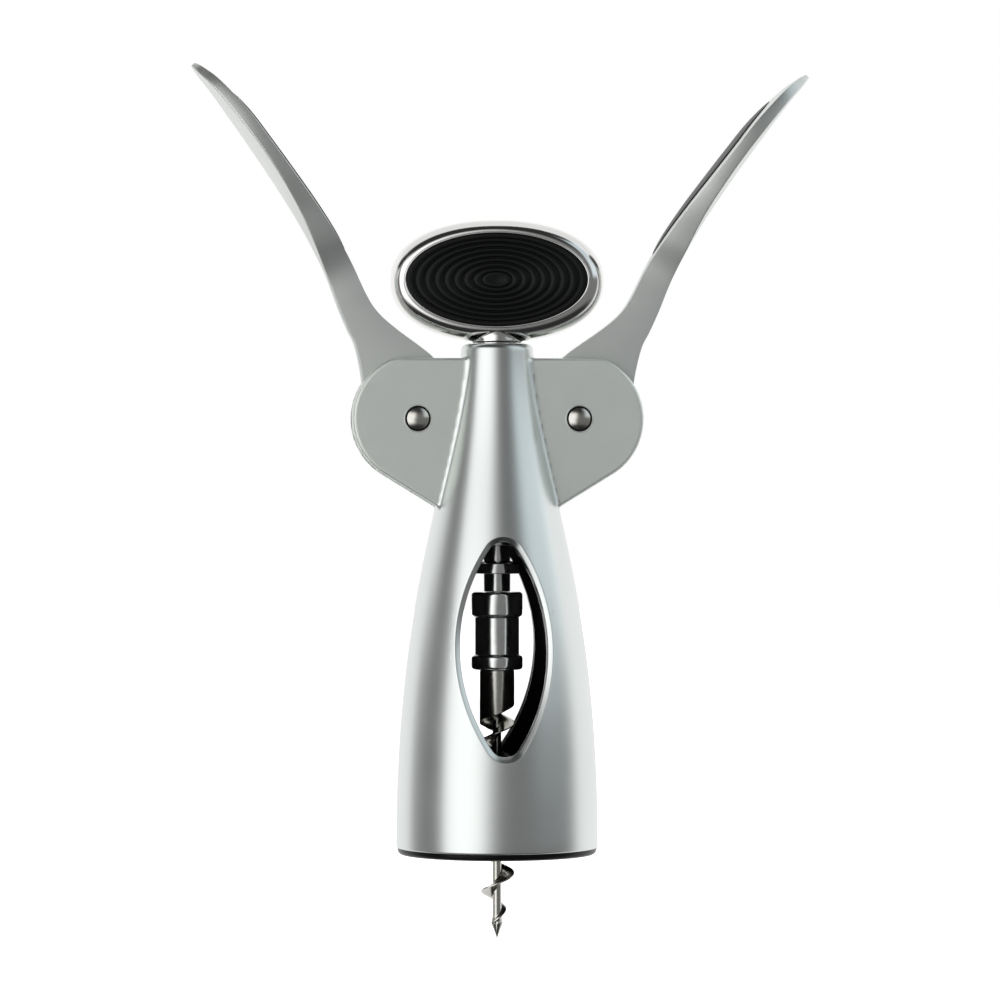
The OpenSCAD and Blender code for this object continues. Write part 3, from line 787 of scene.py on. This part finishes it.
class CORKSCREW_OT_bell(bpy.types.Operator):
    """Makes the bell casting with its windows, ears and rounded edges"""
    bl_idname = "corkscrew.bell"
    bl_label = "Bell casting"

    def execute(self, context):
        piece = cast("bell_shell", bell_field, BELL_LOW - BELL_MARGIN, BELL_HIGH + BELL_MARGIN,
                     BELL_CELL, "satin_chrome")
        mesh = piece.data
        mesh.materials.append(material("pearl_chrome"))
        plate_y = mm("ear_gap") / 2 + mm("ear_t") + 0.1
        for face in mesh.polygons:
            x, y, z = face.center * MM
            if math.hypot(x, y) > bell_radius(z) + 0.5 and abs(y) < plate_y:
                face.material_index = 1
        settle(piece, "housing", "satin_chrome", "bell_casting")
        settle(bell_hem("bell_hem"), "housing", "satin_chrome")
        for side, word in ((-1, "front"), (1, "back")):
            settle(window_edge(side, "window_edge_" + word), "housing", "satin_chrome")
        return {"FINISHED"}


class CORKSCREW_OT_guide(bpy.types.Operator):
    """Gives the bottle guide and the neck's bush their black plastic"""
    bl_idname = "corkscrew.guide"
    bl_label = "Bottle guide and bush"

    def execute(self, context):
        for node in ("bottle_guide", "neck_bush"):
            dress(node, "black_plastic")
        return {"FINISHED"}


class CORKSCREW_OT_rivets(bpy.types.Operator):
    """Makes the rivets through the ears, each with a domed head on a flat black disc of painted
    shadow for its dished seat, ringed by a raised lip
    """
    bl_idname = "corkscrew.rivets"
    bl_label = "Rivets and their seats"

    def execute(self, context):
        face_y = mm("ear_gap") / 2 + mm("ear_t")
        radius, rise = mm("rivet_r"), mm("rivet_h")
        sphere = (radius ** 2 + rise ** 2) / (2 * rise)
        spread = math.asin(radius / sphere)
        dome = [
            (sphere * math.sin(a), rise - sphere + sphere * math.cos(a))
            for a in np.linspace(spread, 0, 14)
        ]
        head = [(radius - 0.05, -0.1), (radius - 0.05, 0), *dome]
        seat_shade_r, lip = mm("seat_shade_r"), mm("seat_lip")
        # A flat black disc under each head, just above the plate: painted shadow where the dished
        # seat would lie in shade
        seat = [(seat_shade_r + 0.1, -0.1), (seat_shade_r + 0.1, 0.03), (0.5, 0.03)]
        rim = [(seat_shade_r + lip * share, rise_up) for share, rise_up in
               ((1, -0.05), (0.9, 0.05), (0.6, 0.10), (0.3, 0.11), (0, 0.07), (-0.1, -0.05))]
        for name, profile, finish_name in (
            ("rivet_heads", head, "bright_steel"),
            # The seat discs take the black plastic as painted shadow, not as a part of their own
            ("rivet_seats", seat, "black_plastic"),
            ("rivet_lips", rim, "wing_chrome"),
        ):
            piece = lathe(name, profile, finish_name, around=64)
            pattern = Pattern(name + "_pattern", Width=2 * PIVOT_X / MM, Depth=2 * face_y / MM,
                              Height=PIVOT_Z / MM)
            grid = pattern.node("GeometryNodeMeshGrid", Size_X=pattern.given("Width"),
                                Size_Y=pattern.given("Depth"), Vertices_X=2, Vertices_Y=2)
            _, y, _ = pattern.split(pattern.node("GeometryNodeInputPosition"))
            outward = pattern.vector(X=y.maths("SIGN") * (-math.pi / 2))
            copies = pattern.copies(grid, Rotation=outward)
            lift = pattern.vector(Z=pattern.given("Height"))
            moved = pattern.node("GeometryNodeTransform", Geometry=copies, Translation=lift)
            pattern.finish(moved, finish_name)
            pattern.bake(piece)
            if name == "rivet_heads":
                settle(piece, "housing", "bright_steel", "pivot_pin_left", "pivot_pin_right")
            else:
                settle(piece, "housing", "satin_chrome")
        return {"FINISHED"}


# ---------------------------------------------------------------- wings

# Stations of the left wing from its tip to its gear, measured from the pivot in millimetres:
# inner face x, z, outer face x, z, half width, inner crown, outer crown
WING = np.array([
    (-50.5, 78.2, -51.2, 77.5, 1.4, 0, 0),
    (-48.6, 77, -49.7, 75.8, 3.6, 0.15, 0.3),
    (-44.8, 73.8, -46.3, 72.3, 6.9, 0.4, 0.7),
    (-38.8, 67.3, -40.8, 65.7, 9.3, 0.65, 1.2),
    (-33.8, 60.8, -35.9, 59.4, 10, 0.75, 1.5),
    (-28.8, 54.2, -31.2, 52.6, 9.5, 0.75, 1.5),
    (-23.8, 47.6, -27, 45.6, 7.7, 0.65, 1.2),
    (-19.1, 40.9, -23.6, 38.4, 6, 0.4, 0.5),
    (-15.1, 34.3, -20.6, 31.5, 2.8, 0.1, 0.1),
    (-11.8, 27.6, -17.9, 24.5, 2.5, 0, 0),
    (-9.3, 23.8, -15.8, 19.7, 2.5, 0, 0),
    (-5.4, 20.3, -14.1, 16.2, 2.5, 0, 0),
    (2.8, 14.3, -12.8, 10.8, 2.5, 0, 0),
    (6.2, 10.4, -11.8, 4, 2.5, 0, 0),
])
WING_PLAY = math.radians(0.8)  # how far the wings hang over in the play of the teeth


def row_at(rows, u):
    """A row between the rows of a table, on a smooth curve through them."""
    last = len(rows) - 1
    i = min(int(u), last - 1)
    t = u - i
    a, b, c, d = rows[max(i - 1, 0)], rows[i], rows[i + 1], rows[min(i + 2, last)]
    return 0.5 * (2 * b + (c - a) * t + (2 * a - 5 * b + 4 * c - d) * t ** 2
                  + (3 * b - a - 3 * c + d) * t ** 3)


def wing_section(row, edge_r, shrink=1.0, push=0.0):
    """The outline of the wing at one station, with rounded edges."""
    inner, outer, half = row[0:2], row[2:4], max(row[4] * shrink, 0.05)
    thick = np.linalg.norm(inner - outer)
    up = (inner - outer) / thick
    middle = (inner + outer) / 2
    thick *= shrink
    radius = min(edge_r, 0.42 * thick, 0.6 * half)
    flat = half - radius
    section = []
    spread = np.linspace(-1, 1, 17)
    for side, crown in ((1, row[5] * shrink), (-1, row[6] * shrink)):
        edge = thick / 2 + crown * (1 - (flat / half) ** 2)
        for share in spread:
            y = share * flat
            section.append((side * y, side * (thick / 2 + crown * (1 - (y / half) ** 2))))
        for a in np.linspace(90, 0, 7)[1:]:
            a = math.radians(a)
            section.append((side * (flat + radius * math.cos(a)),
                            side * (edge - radius + radius * math.sin(a))))
    forward = np.array([up[1], -up[0]]) * push
    return [
        (middle[0] + up[0] * v + forward[0], y, middle[1] + up[1] * v + forward[1])
        for y, v in section
    ]


def wing_piece(side, name, rings, finish_name, sharp):
    """Rings of the left wing, placed at its pivot, or their mirror image on the right."""
    points = np.array(rings, float)
    c, s = math.cos(WING_PLAY), math.sin(WING_PLAY)
    x, z = -side * points[..., 0], points[..., 2].copy()
    points[..., 0] = side * PIVOT_X + x * c + z * s
    points[..., 2] = PIVOT_Z - x * s + z * c
    return skin(name, points, finish_name, sharp, flip=side > 0)


def wing_arm(side, name):
    """The wing from its rounded tip to its root."""
    edge = mm("wing_edge")
    rings = [wing_section(WING[0], edge, shrink, push)
             for shrink, push in ((0.1, 0.55), (0.6, 0.4), (0.88, 0.18))]
    steps = 12
    for i in range(steps * (len(WING) - 1) + 1):
        rings.append(wing_section(row_at(WING, i / steps), edge))
    return wing_piece(side, name, rings, "wing_chrome", sharp=40)


RING_LOW = PIVOT_Z - 33.4  # middle of the lowest rack ring
RINGS = 7
GEAR_TEETH, SECTOR_TEETH = 14, 7  # teeth of a full gear, and those that the wing has
GEAR_R, PITCH_R, GEAR_ROOT_R = 14.6, 14.0, 12.75
GEAR_CHAMFER = 0.25
# Flanks as (half width in shares of the pitch, radius)
TOOTH = ((0.30, GEAR_ROOT_R), (0.222, 13.5), (0.145, GEAR_R - 0.25), (0.105, GEAR_R))
NO_TOOTH = ((0.30, GEAR_ROOT_R), (0.1, GEAR_ROOT_R))


def first_tooth():
    """Angle of the tooth that stands in the gap between two rings just above the pivot."""
    pitch = mm("ring_pitch")
    gap = RING_LOW + (math.floor((PIVOT_Z - RING_LOW) / pitch) + 0.5) * pitch
    return (gap - PIVOT_Z) / PITCH_R


def gear_piece(side, name):
    """The hub's disc with its sector of teeth."""
    half = mm("gear_t") / 2 - 0.02
    step = 2 * math.pi / GEAR_TEETH
    outline = []
    for i in range(GEAR_TEETH):
        middle = first_tooth() - i * step
        flank = TOOTH if i < SECTOR_TEETH else NO_TOOTH
        outline += [(middle + share * step, radius) for share, radius in flank]
        outline += [(middle - share * step, radius) for share, radius in reversed(flank)]
        outline.append((middle - 0.5 * step, GEAR_ROOT_R))
    drawn_in = 1 - GEAR_CHAMFER / GEAR_R
    rings = [
        [(r * math.cos(a) * scale, y, r * math.sin(a) * scale) for a, r in outline]
        for y, scale in ((-half, drawn_in), (GEAR_CHAMFER - half, 1), (half - GEAR_CHAMFER, 1),
                         (half, drawn_in))
    ]
    return wing_piece(side, name, rings, "wing_chrome", sharp=20)


class CORKSCREW_OT_wings(bpy.types.Operator):
    """Makes the two wings with their paddles, webs and gear sectors"""
    bl_idname = "corkscrew.wings"
    bl_label = "Wings"

    def execute(self, context):
        for side, word in ((-1, "left"), (1, "right")):
            body = word + "_wing"
            settle(wing_arm(side, "wing_" + word), body, "satin_chrome", "lever_" + word)
            settle(gear_piece(side, "wing_gear_" + word), body, "satin_chrome")
        return {"FINISHED"}


PAD_FROM, PAD_TO = 2.35, 7.6  # stations between which the wing pads lie
PAD_MARGIN = 1.4  # least bare metal beside a pad
PAD_ROUND, PAD_DEPTH = 0.4, 0.35  # rounding of a pad's edge, and how deep it reaches into the metal


def wing_pad(side, name):
    """A rubber pad that follows the crown of the paddle's inner face."""
    rings = []
    steps = 60
    for i in range(steps + 1):
        v = -math.cos(math.pi * i / steps)  # -1 at the pad's tip, 1 at its end near the root
        row = row_at(WING, PAD_FROM + (PAD_TO - PAD_FROM) * (v + 1) / 2)
        inner, outer, half = row[0:2], row[2:4], row[4]
        up = (inner - outer) / np.linalg.norm(inner - outer)
        swell = mm("wing_pad_w") - mm("wing_pad_taper") * v
        reach = max(0.05, min(swell * math.sqrt(max(0.0, 1 - v * v)), half - PAD_MARGIN))
        r = min(PAD_ROUND, reach)
        tall = mm("wing_pad_h") * min(1.0, math.sqrt(max(0.0, 1 - v ** 8)) + 0.05)
        edge = [(-reach, -PAD_DEPTH), (-reach, max(tall - r, -0.1))]
        edge += [(-reach + r * (1 - math.cos(a)), tall - r * (1 - math.sin(a)))
                 for a in np.linspace(0.4, math.pi / 2, 4)]
        top = [(y, tall) for y in np.linspace(-reach + r, reach - r, 15)[1:-1]]
        ring = []
        for y, lift in (*edge, *top, *((-y, lift) for y, lift in reversed(edge))):
            rise = row[5] * (1 - (y / half) ** 2) + lift
            ring.append((inner[0] + up[0] * rise, y, inner[1] + up[1] * rise))
        rings.append(ring)
    return wing_piece(side, name, rings, "black_rubber", sharp=50)


class CORKSCREW_OT_wing_pads(bpy.types.Operator):
    """Makes the rubber pads on the inner faces of the wings"""
    bl_idname = "corkscrew.wing_pads"
    bl_label = "Wing pads"

    def execute(self, context):
        for side, word in ((-1, "left"), (1, "right")):
            piece = wing_pad(side, "wing_pad_" + word)
            settle(piece, word + "_wing", "black_rubber", "lever_pad_" + word)
        return {"FINISHED"}


# ---------------------------------------------------------------- spindle

RING_HALF = 1.14  # half the thickness of a rack ring at its rim


class CORKSCREW_OT_spindle(bpy.types.Operator):
    """Makes the turned rod, its rack rings and the stop spool"""
    bl_idname = "corkscrew.spindle"
    bl_label = "Spindle"

    def execute(self, context):
        root, ring, pitch = mm("root_r"), mm("ring_r"), mm("ring_pitch")
        foot = SPOOL_HIGH[2] + 0.07
        head = RING_LOW + RINGS * pitch - RING_HALF
        rod = soften(
            [(1.0, foot), (root, foot), (root, head - 1.3), (ring, head),
             (ring, KNOB_LOW[2] + 0.5)],
            [0.2, 0.3, 0.15],
        )
        rod_piece = lathe("rack_rod", rod, "black_nickel")
        ring_profile = soften(
            [(root - 0.1, -RING_HALF), (ring, -RING_HALF), (ring, RING_HALF), (root - 0.1, 1.75)],
            [0.22, 0.22],
        )
        rings = lathe("rack_rings", ring_profile, "black_nickel")
        pattern = Pattern("rack_rings_pattern", Rings=RINGS, Pitch=pitch / MM,
                          Lowest=RING_LOW / MM)
        line = pattern.node("GeometryNodeMeshLine", Count=pattern.given("Rings"),
                            Start_Location=pattern.vector(Z=pattern.given("Lowest")),
                            Offset=pattern.vector(Z=pattern.given("Pitch")))
        pattern.finish(pattern.copies(line), "black_nickel")
        pattern.bake(rings)
        settle(rod_piece, "spindle", "black_nickel", "rack_spindle")
        settle(rings, "spindle", "black_nickel")
        low, high = SPOOL_LOW[2], SPOOL_HIGH[2]
        spool = soften(
            [(2.4, low), (5.75, low), (5.75, low + 3.3), (4.95, low + 3.3), (4.95, high - 5.6),
             (5.7, high - 5.6), (5.7, high), (2.4, high)],
            [0.8, 0.8, 0.3, 0.3, 0.8, 0.8],
        )
        settle(lathe("spool", spool, "black_nickel"), "slider", "black_nickel", "stop_spool")
        return {"FINISHED"}


POINT_R, POINT_H = 1.3, 3.6  # radius of the worm's point where it is widest, and its height
CREST_Z = -4.2  # height at which the flight's crest stands on the +X side
CREST_HALF, FLIGHT_HALF = 0.16, 0.95  # half heights of the flight at its crest and at its foot
SHANK_H = 10.0  # height of the plain shank, measured at the front
LEVEL = 0.22  # distance between two rings of points


class CORKSCREW_OT_worm(bpy.types.Operator):
    """Makes the worm: shank, flight and point in one, and gives its cross pin bright steel"""
    bl_idname = "corkscrew.worm"
    bl_label = "Worm"

    def execute(self, context):
        pitch, outer, core = mm("worm_pitch"), mm("worm_r"), mm("core_r")
        tip, top = WORM_LOW[2], WORM_HIGH[2]
        shank_r = WORM_HIGH[0]
        cone_top = tip + POINT_H
        spread = np.concatenate([[-180], np.linspace(-165, -45, 12), np.linspace(-38, 38, 27),
                                 np.linspace(45, 165, 12)])
        off = np.abs(spread) / 360 * pitch
        flight = np.clip(1 - (off - CREST_HALF) / (FLIGHT_HALF - CREST_HALF), 0, 1) ** 1.25
        levels = [tip, tip + 0.06, *np.linspace(cone_top * 0.9 + tip * 0.1, cone_top, 3)]
        levels += list(np.arange(cone_top + LEVEL, top - 0.45, LEVEL))
        levels += [top - 0.35, top - 0.1, top]
        rings = []
        for z in levels:
            turn = 360 * (z - CREST_Z) / pitch
            grow = np.clip((z - cone_top + 0.3) / pitch / 0.95, 0, 1)
            neck = core + (POINT_R - core) * np.clip(1 - (z - cone_top) / 1.6, 0, 1)
            cone = POINT_R * ((z - tip) / POINT_H) ** 0.85 + 0.06
            base = neck if z >= cone_top else cone
            radius = base + (core + (outer - core) * grow - base) * flight * (z >= cone_top - 0.3)
            angle = np.radians(turn + spread)
            around_turn = np.mod(turn + spread + 270, 360) / 360 - 0.5
            full = np.clip((z - (top - SHANK_H) - pitch * around_turn) / 0.5 + 0.5, 0, 1)
            full = full * full * (3 - 2 * full)
            radius = radius + (shank_r - radius) * full
            if z > top - 0.3:
                radius = radius - 0.3 * (z - top + 0.3)
            rings.append(np.column_stack([radius * np.cos(angle), radius * np.sin(angle),
                                          np.full(len(spread), z)]))
        piece = skin("worm_screw", rings, "bright_steel", sharp=48)
        settle(piece, "spindle", "bright_steel", "worm")
        dress("worm_pin", "bright_steel")
        return {"FINISHED"}


# ---------------------------------------------------------------- knob

PAD_UP = 0.1  # how far the pads sit above the knob's centre
OVAL_POWER = 2.2  # the rim's outline is a little fuller than an ellipse
RIM_POWER = 1.95  # and so is its section, less so


def knob_centre():
    return KNOB_HIGH[2] - mm("rim_h")


def knob_field(x, y, z):
    c, s = math.cos(VIEW_TURN), math.sin(VIEW_TURN)
    across, depth = x * c + y * s, y * c - x * s
    up = z - knob_centre()
    angle = np.arctan2(up, across)
    cos, sin = np.abs(np.cos(angle)), np.abs(np.sin(angle))
    rim = ((cos / mm("rim_w")) ** OVAL_POWER + (sin / mm("rim_h")) ** OVAL_POWER)
    rim = rim ** (-1 / OVAL_POWER)
    face = 1 / np.hypot(cos / (mm("pad_w") + 0.45), sin / (mm("pad_h") + 0.45))
    face = face + PAD_UP * np.sin(angle)
    out = np.hypot(across, up)
    share = np.maximum((out - face) / (rim - face), 0)
    half = mm("rim_t")
    body = (share ** RIM_POWER + (np.abs(depth) / half) ** RIM_POWER) ** (1 / RIM_POWER)
    body = (body - 1) * 3.4  # about the distance from the surface
    swell = 1 - ((z - KNOB_LOW[2]) / 8.0) ** 2  # the boss is drawn in towards its top
    boss = np.hypot(x, y) - mm("boss_r") * np.sqrt(np.maximum(swell, 0.2))
    boss = meet(boss, KNOB_LOW[2] - z, 0.4)
    boss = meet(boss, z - knob_centre(), 0.5)
    body = join(body, boss, 0.35)
    pad = np.hypot(across / mm("pad_w"), (up - PAD_UP) / mm("pad_h")) - 1
    pocket = np.maximum(pad * mm("pad_h"), half - 0.7 - np.abs(depth))
    return cut(body, pocket, 0.15)


class CORKSCREW_OT_knob(bpy.types.Operator):
    """Makes the oval knob with its polished rim and its boss"""
    bl_idname = "corkscrew.knob"
    bl_label = "Knob"

    def execute(self, context):
        piece = cast("knob", knob_field, KNOB_LOW - 1.2, KNOB_HIGH + 1.2, 0.32, "polished_chrome")
        settle(piece, "spindle", "polished_chrome", "knob_body")
        for side, word in ((-1, "front"), (1, "back")):
            settle(pad_bead(side, "knob_bead_" + word), "spindle", "polished_chrome")
        dress("knob_pin", "bright_steel")
        return {"FINISHED"}


def pad_bead(side, name):
    """A fine bright bead of the rim along the edge of a pad."""
    thick = 0.26
    width, height = mm("pad_w"), mm("pad_h")
    angles = full_turn(200)
    edge = np.column_stack([width * np.cos(angles), height * np.sin(angles)])
    out = np.column_stack([np.cos(angles) / width, np.sin(angles) / height])
    out /= np.linalg.norm(out, axis=1)[:, None]
    rings = []
    for t in full_turn(12):
        x, z = (edge + out * (0.2 + thick * math.cos(t))).T
        y = np.full(len(angles), -(mm("rim_t") - 0.06) - thick * math.sin(t))
        rings.append(knob_place(np.column_stack([x, y, z]), side))
    return skin(name, rings, "polished_chrome", loop=True)


def pad_base(side, name):
    """The oval of rubber under the ridges, with a rounded edge."""
    width, height = mm("pad_w") - 0.05, mm("pad_h") - 0.05
    top = mm("rim_t") + 0.25
    angles = full_turn(160)
    profile = [(1, top - 1), (1, top - 0.25), (0.996, top - 0.08), (0.985, top), (0.935, top),
               (0.92, top - 0.06), (0.913, top - 0.4), (0.17, top - 0.4), (0.16, top - 0.1),
               (0.14, top), (0.11, top), (0.08, top - 0.12), (0.001, top - 0.2)]
    rings = []
    for share, depth in profile:
        x, z = width * share * np.cos(angles), height * share * np.sin(angles)
        rings.append(knob_place(np.column_stack([x, np.full(len(angles), -depth), z]), side))
    return skin(name, rings, "black_rubber", sharp=40)


def knob_matrix(side):
    """Turns a piece made on the front of the knob to the front or the back."""
    turn = VIEW_TURN + (0 if side < 0 else math.pi)
    centre = Matrix.Translation((0, 0, (knob_centre() + PAD_UP) / MM))
    return centre @ Matrix.Rotation(turn, 4, "Z")


def knob_place(points, side):
    """Places points made on the front of the knob, in millimetres."""
    matrix = np.array(knob_matrix(side))
    return points @ matrix[:3, :3].T + matrix[:3, 3] * MM


RIDGE_UNIT = 10.0  # the ridges are laid out on a disc of this radius


def pad_ridges(side, name):
    """Concentric ridges, laid out as circles and then drawn out into ovals."""
    seed = bpy.data.objects.new(name, bpy.data.meshes.new(name))
    bpy.context.scene.collection.objects.link(seed)
    pattern = Pattern(name + "_pattern", Ridges=7, First=2.12 / MM, Spacing=1.065 / MM,
                      Ridge_Width=0.98 / MM, Ridge_Height=0.80 / MM, Segments=160)
    line = pattern.node("GeometryNodeMeshLine", Count=pattern.given("Ridges"), Offset=(0, 0, 0))
    index = pattern.node("GeometryNodeInputIndex")
    reach = pattern.given("First") + index * pattern.given("Spacing")
    circle = pattern.node("GeometryNodeCurvePrimitiveCircle", Resolution=pattern.given("Segments"),
                          Radius=1.0)
    circles = pattern.node("GeometryNodeInstanceOnPoints", Points=line, Instance=circle,
                           Scale=pattern.vector(X=reach, Y=reach, Z=1.0))
    bar = pattern.node("GeometryNodeCurvePrimitiveCircle", Resolution=16, Radius=0.5)
    size = pattern.vector(X=pattern.given("Ridge_Width"), Y=pattern.given("Ridge_Height"), Z=1.0)
    ridges = pattern.node("GeometryNodeCurveToMesh",
                          Curve=pattern.node("GeometryNodeRealizeInstances", Geometry=circles),
                          Profile_Curve=pattern.node("GeometryNodeTransform", Geometry=bar,
                                                     Scale=size))
    drawn = pattern.node("GeometryNodeTransform", Geometry=ridges,
                         Scale=(mm("pad_w") / RIDGE_UNIT, mm("pad_h") / RIDGE_UNIT, 1.0))
    pattern.finish(drawn, "black_rubber")
    piece = pattern.bake(seed, sharp=60)
    lift = Matrix.Translation((0, -(mm("rim_t") - 0.15) / MM, 0))
    piece.data.transform(knob_matrix(side) @ lift @ Matrix.Rotation(math.pi / 2, 4, "X"))
    return piece


class CORKSCREW_OT_knob_pads(bpy.types.Operator):
    """Makes the ridged rubber pads on both faces of the knob"""
    bl_idname = "corkscrew.knob_pads"
    bl_label = "Knob pads"

    def execute(self, context):
        for side, word in ((-1, "front"), (1, "back")):
            base = pad_base(side, "knob_pad_base_" + word)
            settle(base, "spindle", "black_rubber", "knob_pad_" + word)
            settle(pad_ridges(side, "knob_pad_ridges_" + word), "spindle", "black_rubber")
        return {"FINISHED"}


# ---------------------------------------------------------------- stage

def studio_world():
    """White behind the object, a dim room in front of it, and soft boxes, by direction."""
    world = bpy.data.worlds.new("studio")
    bpy.context.scene.world = world
    s = Shader(world)
    where = s.node("ShaderNodeTexCoord", "Generated")
    x, y, z = s.split(where)
    azimuth = x.maths("ARCTAN2", -y) * (180 / math.pi)
    height = z.maths("ARCSINE") * (180 / math.pi)
    around = azimuth - math.degrees(sizes().camera_turn)
    level = 1.0 - abs(height).ramp(22, 44) * 0.85  # the room is darker overhead and underneath
    dark_side = around.between(-116, -90, 8) * (1.0 - height.ramp(4, 16))
    wall = abs(around).ramp(88, 112) * (1.0 - dark_side * 0.8)
    key = around.ramp(-68, -60) * (1.0 - (around - height.between(3, 60, 3) * 6.0).ramp(-26, 3))
    key = key * height.between(-28, 34, 10)
    side = around.between(46, 104, 12) * height.between(8, 60, 5)
    light = 0.195 * level + wall * 0.84 + key * 1.25
    glow = s.node("ShaderNodeCombineColor", 0, light + side * 0.62, light + side * 0.70,
                  light + side * 0.74)
    lit = s.node("ShaderNodeBackground", Color=glow, Strength=1.0)
    plain = s.node("ShaderNodeBackground", Color=tuple(finish().backdrop), Strength=1.0)
    s.backdrop(lit, plain, "ShaderNodeOutputWorld")


def floor_material():
    """A pale floor that stays white in the picture and keeps a faint shadow."""
    s = Shader(bpy.data.materials.new("floor"))
    where, _ = s.place()
    speck = s.noise(where, 0.02, 2.0)
    paint = s.node("ShaderNodeBsdfPrincipled", "BSDF", Roughness=0.8,
                   Base_Color=s.blend(speck, (0.86, 0.86, 0.86), (0.9, 0.9, 0.9)))
    glow = s.node("ShaderNodeEmission", Color=tuple(finish().backdrop), Strength=0.86)
    return s.backdrop(paint, s.node("ShaderNodeAddShader", 0, paint, glow))


class CORKSCREW_OT_stage(bpy.types.Operator):
    """Makes the floor, the studio light and the camera at the photograph's viewing angle"""
    bl_idname = "corkscrew.stage"
    bl_label = "Floor, light and camera"

    def execute(self, context):
        scene = context.scene
        scene.view_settings.view_transform = "Standard"
        studio_world()
        ground = (WORM_LOW[2] - 0.2) / MM
        corners = [(x, y, ground) for x, y in ((-3, -3), (3, -3), (3, 3), (-3, 3))]
        mesh = bpy.data.meshes.new("floor")
        mesh.from_pydata(corners, [], [(0, 1, 2, 3)])
        mesh.materials.append(floor_material())
        floor = bpy.data.objects.new("floor", mesh)
        floor.visible_glossy = False
        scene.collection.objects.link(floor)
        lens = bpy.data.cameras.new("camera")
        camera = bpy.data.objects.new("camera", lens)
        scene.collection.objects.link(camera)
        turn, distance = sizes().camera_turn, sizes().camera_distance
        lens.sensor_width = 36.0
        lens.lens = lens.sensor_width * distance / sizes().frame_w
        lens.clip_end = 20.0
        aside = 0.00067  # the body's axis stands a little left of the picture's middle
        right = Vector((math.cos(turn), math.sin(turn), 0))
        away = Vector((math.sin(turn), -math.cos(turn), 0))
        camera.location = away * distance + right * aside + Vector((0, 0, sizes().camera_z))
        camera.rotation_euler = (math.pi / 2, 0, turn)
        scene.camera = camera
        return {"FINISHED"}


# ---------------------------------------------------------------- add-on

PIECES = (
    CORKSCREW_OT_stage,
    CORKSCREW_OT_bell,
    CORKSCREW_OT_guide,
    CORKSCREW_OT_rivets,
    CORKSCREW_OT_wings,
    CORKSCREW_OT_wing_pads,
    CORKSCREW_OT_spindle,
    CORKSCREW_OT_worm,
    CORKSCREW_OT_knob,
    CORKSCREW_OT_knob_pads,
)


class CORKSCREW_PT_panel(bpy.types.Panel):
    """Lists the corkscrew's pieces and settings"""
    bl_idname = "CORKSCREW_PT_panel"
    bl_label = "Wing corkscrew"
    bl_space_type = "VIEW_3D"
    bl_region_type = "UI"
    bl_category = "Corkscrew"

    def draw(self, context):
        layout = self.layout
        for operator in PIECES:
            layout.operator(operator.bl_idname)
        for group in (context.scene.corkscrew_sizes, context.scene.corkscrew_finish):
            box = layout.box()
            for name in group.__annotations__:
                box.prop(group, name)


CLASSES = (CorkscrewSizes, CorkscrewFinish, *PIECES, CORKSCREW_PT_panel)


def register():
    for item in CLASSES:
        bpy.utils.register_class(item)
    bpy.types.Scene.corkscrew_sizes = bpy.props.PointerProperty(type=CorkscrewSizes)
    bpy.types.Scene.corkscrew_finish = bpy.props.PointerProperty(type=CorkscrewFinish)


def unregister():
    del bpy.types.Scene.corkscrew_finish
    del bpy.types.Scene.corkscrew_sizes
    for item in reversed(CLASSES):
        bpy.utils.unregister_class(item)


def plain(bounds):
    """Bounds as lists of numbers."""
    return [[float(v) for v in corner] for corner in bounds]


def main():
    register()
    for operator in PIECES:
        group, name = operator.bl_idname.split(".")
        getattr(getattr(bpy.ops, group), name)()


if __name__ == "__main__":
    main()
